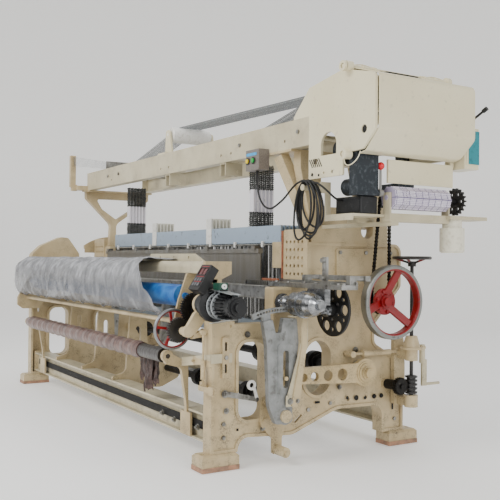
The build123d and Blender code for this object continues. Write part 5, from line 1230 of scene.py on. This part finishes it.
strap = bmesh.new()
plate_front = [
    at(frame_face + 4, 52.4, 553), at(frame_face + 4, 52.4, 510), at(1238, 52.4, 462),
    at(1238, 52.4, 506),
]
corner_set = [strap.verts.new(spot) for spot in plate_front]
grown = bmesh.ops.extrude_face_region(strap, geom=[strap.faces.new(corner_set)])["geom"]
bmesh.ops.translate(
    strap, vec=(0, -0.004, 0), verts=[part for part in grown if isinstance(part, bmesh.types.BMVert)],
)
slab(strap, at(frame_face + 0.3, 48.4, 508), at(frame_face + 4.3, 165, 552), 0.0006)
piece("post_strap", "machine", cleaner_enamel, closed(strap))
strip = bmesh.new()
plate(strip, 1674, 1679, [(479, 727), (513, 727), (517, 596), (440, 344), (399, 348), (480, 608)])
slab(strip, at(1640, 420, 727), at(1686, 515, 732), 0.001)
slab(strip, at(1672, 392, 296), at(1682, 470, 350), 0.002)
piece("lever_guard_strip", "machine", cleaner_enamel, closed(strip))
strip_bolts = bmesh.new()
for distance in (412, 450):
    bolt(strip_bolts, at(1682, distance, 322), (1, 0, 0), 0.011)
piece("lever_guard_bolts", "machine", zinc_bolt, closed(strip_bolts))

# White ring lever and its grey arm in the front window

ring_lever = bmesh.new()
ring(ring_lever, at(1552, 270, 393), (1, 0, 0), 0.0125, 0.0245, 0.009)
plate(ring_lever, 1553, 1560, [(280, 372), (292, 378), (310, 326), (296, 318)])
piece("ring_lever", "machine", white_nylon, closed(ring_lever))
ring_arm = bmesh.new()
plate(ring_arm, 1549, 1553, [(122, 372), (134, 374), (312, 330), (308, 308), (124, 348)])
bolt(ring_arm, at(1553, 250, 336), (1, 0, 0), 0.008)
bolt(ring_arm, at(1553, 301, 322), (1, 0, 0), 0.009)
piece("ring_lever_arm", "machine", zinc_bolt, closed(ring_arm))

# Switch box: a pale blue strip and black collars round the buttons

collars = bmesh.new()
for x in (1228, 1284):
    ring(collars, at(x, 433.6, 1526), (0, -1, 0), 0.0123, 0.019, 0.0016)
piece("button_collars", "machine", keypad_plastic, closed(collars))
label = bmesh.new()
slab(label, at(1211, 436.2, 1553), at(1312, 436.9, 1568), 0.0002)
piece("switch_strip", "machine", label_blue, label)

# Dobby: painted shade in the cut-outs, in the slots of the hatch plate and in the slot of the cover, and the
# knobs and handles of the cover

# Painted shade: dark discs, a panel and slanted strips for the shade in the round hole, behind the arch
# opening, and in the hatch plate's slots and two holes
shade = bmesh.new()
drum(shade, at(2111, 508, 1587), at(2111, 514, 1587), 0.026, sides=28)
slab(shade, at(1782, 604, 1458), at(1918, 607, 1624), 0.001)
for step in range(6):
    x = 1708 + step * 15
    slab(
        shade, at(x, 501.2, 1446), at(x + 6.5, 501.9, 1494), 0.0003,
        Matrix.Rotation(radians(-32), 4, "Y"),
    )
drum(shade, at(1722, 501.2, 1416), at(1722, 501.9, 1416), 0.0085, sides=20)
drum(shade, at(1775, 501.2, 1410), at(1775, 501.9, 1410), 0.0065, sides=18)
piece("dobby_painted_shade", "machine", painted_slot_shade, shade)
# Painted shade: a dark strip where the slot in the cover's top is
cover_slot_shade = bmesh.new()
slab(cover_slot_shade, at(2008, 700, 1880.5), at(2030, 900, 1884.6), 0.001)
piece("cover_slot_shade", "cover", painted_slot_shade, cover_slot_shade)
knobs = bmesh.new()
for x, height, radius in ((2006, 1484, 0.0265), (2003, 1884, 0.0235)):
    ring(knobs, at(x, 472, height), (0, -1, 0), radius * 0.52, radius, 0.012)
    drum(knobs, at(x, 471.8, height), at(x, 466, height), radius * 0.42, sides=24)
bars = bmesh.new()
drum(bars, at(cover_bar[0], 512, cover_bar[1]), at(cover_bar[0], 640, cover_bar[1]), 0.016, sides=24)
drum(bars, at(cover_bar[0], 960, cover_bar[1]), at(cover_bar[0], 1100, cover_bar[1]), 0.016, sides=24)
for distance in (512, 575, 640, 960, 1030, 1100):
    ring(bars, at(cover_bar[0], distance - 4, cover_bar[1]), (0, 1, 0), 0.013, 0.0195, 0.008)
piece("cover_bars", "cover", smooth_enamel, closed(bars))
piece("cover_knobs", "machine", smooth_enamel, closed(knobs))
many_cords(
    "cover_wire_handles",
    [
        [at(2003, 520, 1893), at(1996, 560, 1904), at(1996, 600, 1905), at(2003, 636, 1895)],
        [at(2003, 965, 1893), at(1996, 1000, 1904), at(1996, 1050, 1905), at(2003, 1096, 1895)],
    ],
    0.0026, "cover", smooth_enamel,
)
many_cords(
    "plate_wire_bails",
    [
        [at(2010, 470, 1470), at(2014, 466, 1442), at(2048, 464, 1424), at(2090, 466, 1438),
         at(2108, 478, 1466), at(2098, 492, 1488)],
    ],
    0.0026, "machine", smooth_enamel,
)
lever = bmesh.new()
drum(lever, at(2112, 1190, 1700), at(2176, 1200, 1738), 0.006, sides=14)
drum(lever, at(2160, 1198, 1729), at(2182, 1202, 1742), 0.0105, sides=18)
piece("rear_black_lever", "machine", keypad_plastic, lever)
teal = bmesh.new()
slab(teal, at(2124.1, 1140, 1474), at(2126.5, 1212, 1636), 0.001)
piece("teal_side_panel", "machine", teal_paint, teal)
case = bmesh.new()
slab(case, at(1840, 556, 1217.5), at(2028, 652, 1299), 0.004)
slab(case, at(1852, 553.5, 1228), at(2016, 556, 1290), 0.001)
for x in (1858, 2010):
    for height in (1233, 1285):
        drum(case, at(x, 553.6, height), at(x, 551.5, height), 0.003, sides=12)
piece("control_box_case", "machine", motor_black, case)

# Two dark cross shafts with collars between the side frames. They are guessed from the dark forms
# that show through the windows, and have no solid of their own.

works = bmesh.new()
drum(works, at(-1440, 470, 300), at(1440, 470, 300), 0.021, sides=28)
drum(works, at(-1440, 905, 430), at(1440, 905, 430), 0.024, sides=28)
for x in (-1180, -620, 620, 1180, 1330):
    for distance, height, reach in ((470, 300, 0.05), (905, 430, 0.062)):
        drum(works, at(x, distance, height), at(x + 46, distance, height), reach, sides=32)
        drum(works, at(x + 46, distance, height), at(x + 62, distance, height), reach * 0.7, sides=32)
piece("cross_shafts", "machine", black_gear, works)

# Oil-stained boards at the end guides of the healds, and painted shade on the web behind the rail's slots

boards = bmesh.new()
slab(boards, at(1314, 597, 905), at(1325, 605, 1158), 0.001)
slab(boards, at(1180, 560, 892), at(1332, 574, 904), 0.001)
piece("guide_boards", "machine", board_brown, boards)
# Painted shade: a dark strip behind the rail's slots, seen through them
web = bmesh.new()
slab(web, at(-1400, 104, 160), at(1400, 105, 202))
piece("rail_slot_painted_shade", "machine", painted_slot_shade, web)

# Floor and backdrop: one pale bowl that curves up all round the loom, open at the top

sweep = bmesh.new()
floor_reach, wall_curve, wall_top = 10.0, 3.0, 9.0
profile = [(0.0, 0.0), (floor_reach, 0.0)]
for step in range(1, 9):
    angle = step * pi / 16
    profile.append((floor_reach + wall_curve * sin(angle), wall_curve * (1 - cos(angle))))
profile.append((floor_reach + wall_curve, wall_top))
rail = [sweep.verts.new((reach, 0, height - 0.002)) for reach, height in profile]
lines = [sweep.edges.new(pair) for pair in zip(rail, rail[1:])]
bmesh.ops.spin(
    sweep, geom=rail + lines, cent=(0, 0, 0), axis=(0, 0, 1), angle=2 * pi, steps=64, use_merge=True,
    use_duplicate=False,
)
bmesh.ops.remove_doubles(sweep, verts=sweep.verts, dist=0.0001)
bmesh.ops.recalc_face_normals(sweep, faces=sweep.faces)
backdrop_data = bpy.data.meshes.new("floor")
sweep.to_mesh(backdrop_data)
sweep.free()
paper = start("pale_floor_paper", "#f2f1ee", 0.9)[0]
paper_shader = paper.node_tree.nodes["Principled BSDF"]
paper_shader.inputs["Emission Color"].default_value = linear("#ffffff")
paper_shader.inputs["Emission Strength"].default_value = 0.26
backdrop_data.materials.append(paper)
backdrop = bpy.data.objects.new("floor", backdrop_data)
bpy.context.scene.collection.objects.link(backdrop)
for face in backdrop_data.polygons:
    face.use_smooth = True

# Light: a wide soft key from the left front, a fill from the right, a strip from above

def soft_light(name, place, target, power, width, height):
    data = bpy.data.lights.new(name, "AREA")
    data.shape = "RECTANGLE"
    data.size = width
    data.size_y = height
    data.energy = power
    made = bpy.data.objects.new(name, data)
    made.location = place
    made.rotation_euler = (Vector(target) - Vector(place)).to_track_quat("-Z", "Y").to_euler()
    bpy.context.scene.collection.objects.link(made)


soft_light("key", (1.5, -6.5, 5.5), (0.2, 0, 0.8), 400, 4, 2.5)
soft_light("fill", (6.5, -0.5, 3.0), (0.5, 0, 0.9), 90, 3, 3)
soft_light("top", (-0.5, 0.5, 6.0), (0, 0, 0.8), 130, 6, 4)
world = bpy.data.worlds.new("studio")
bpy.context.scene.world = world
world.use_nodes = True
world.node_tree.nodes["Background"].inputs["Color"].default_value = linear("#f6f7f8")
world.node_tree.nodes["Background"].inputs["Strength"].default_value = 0.5
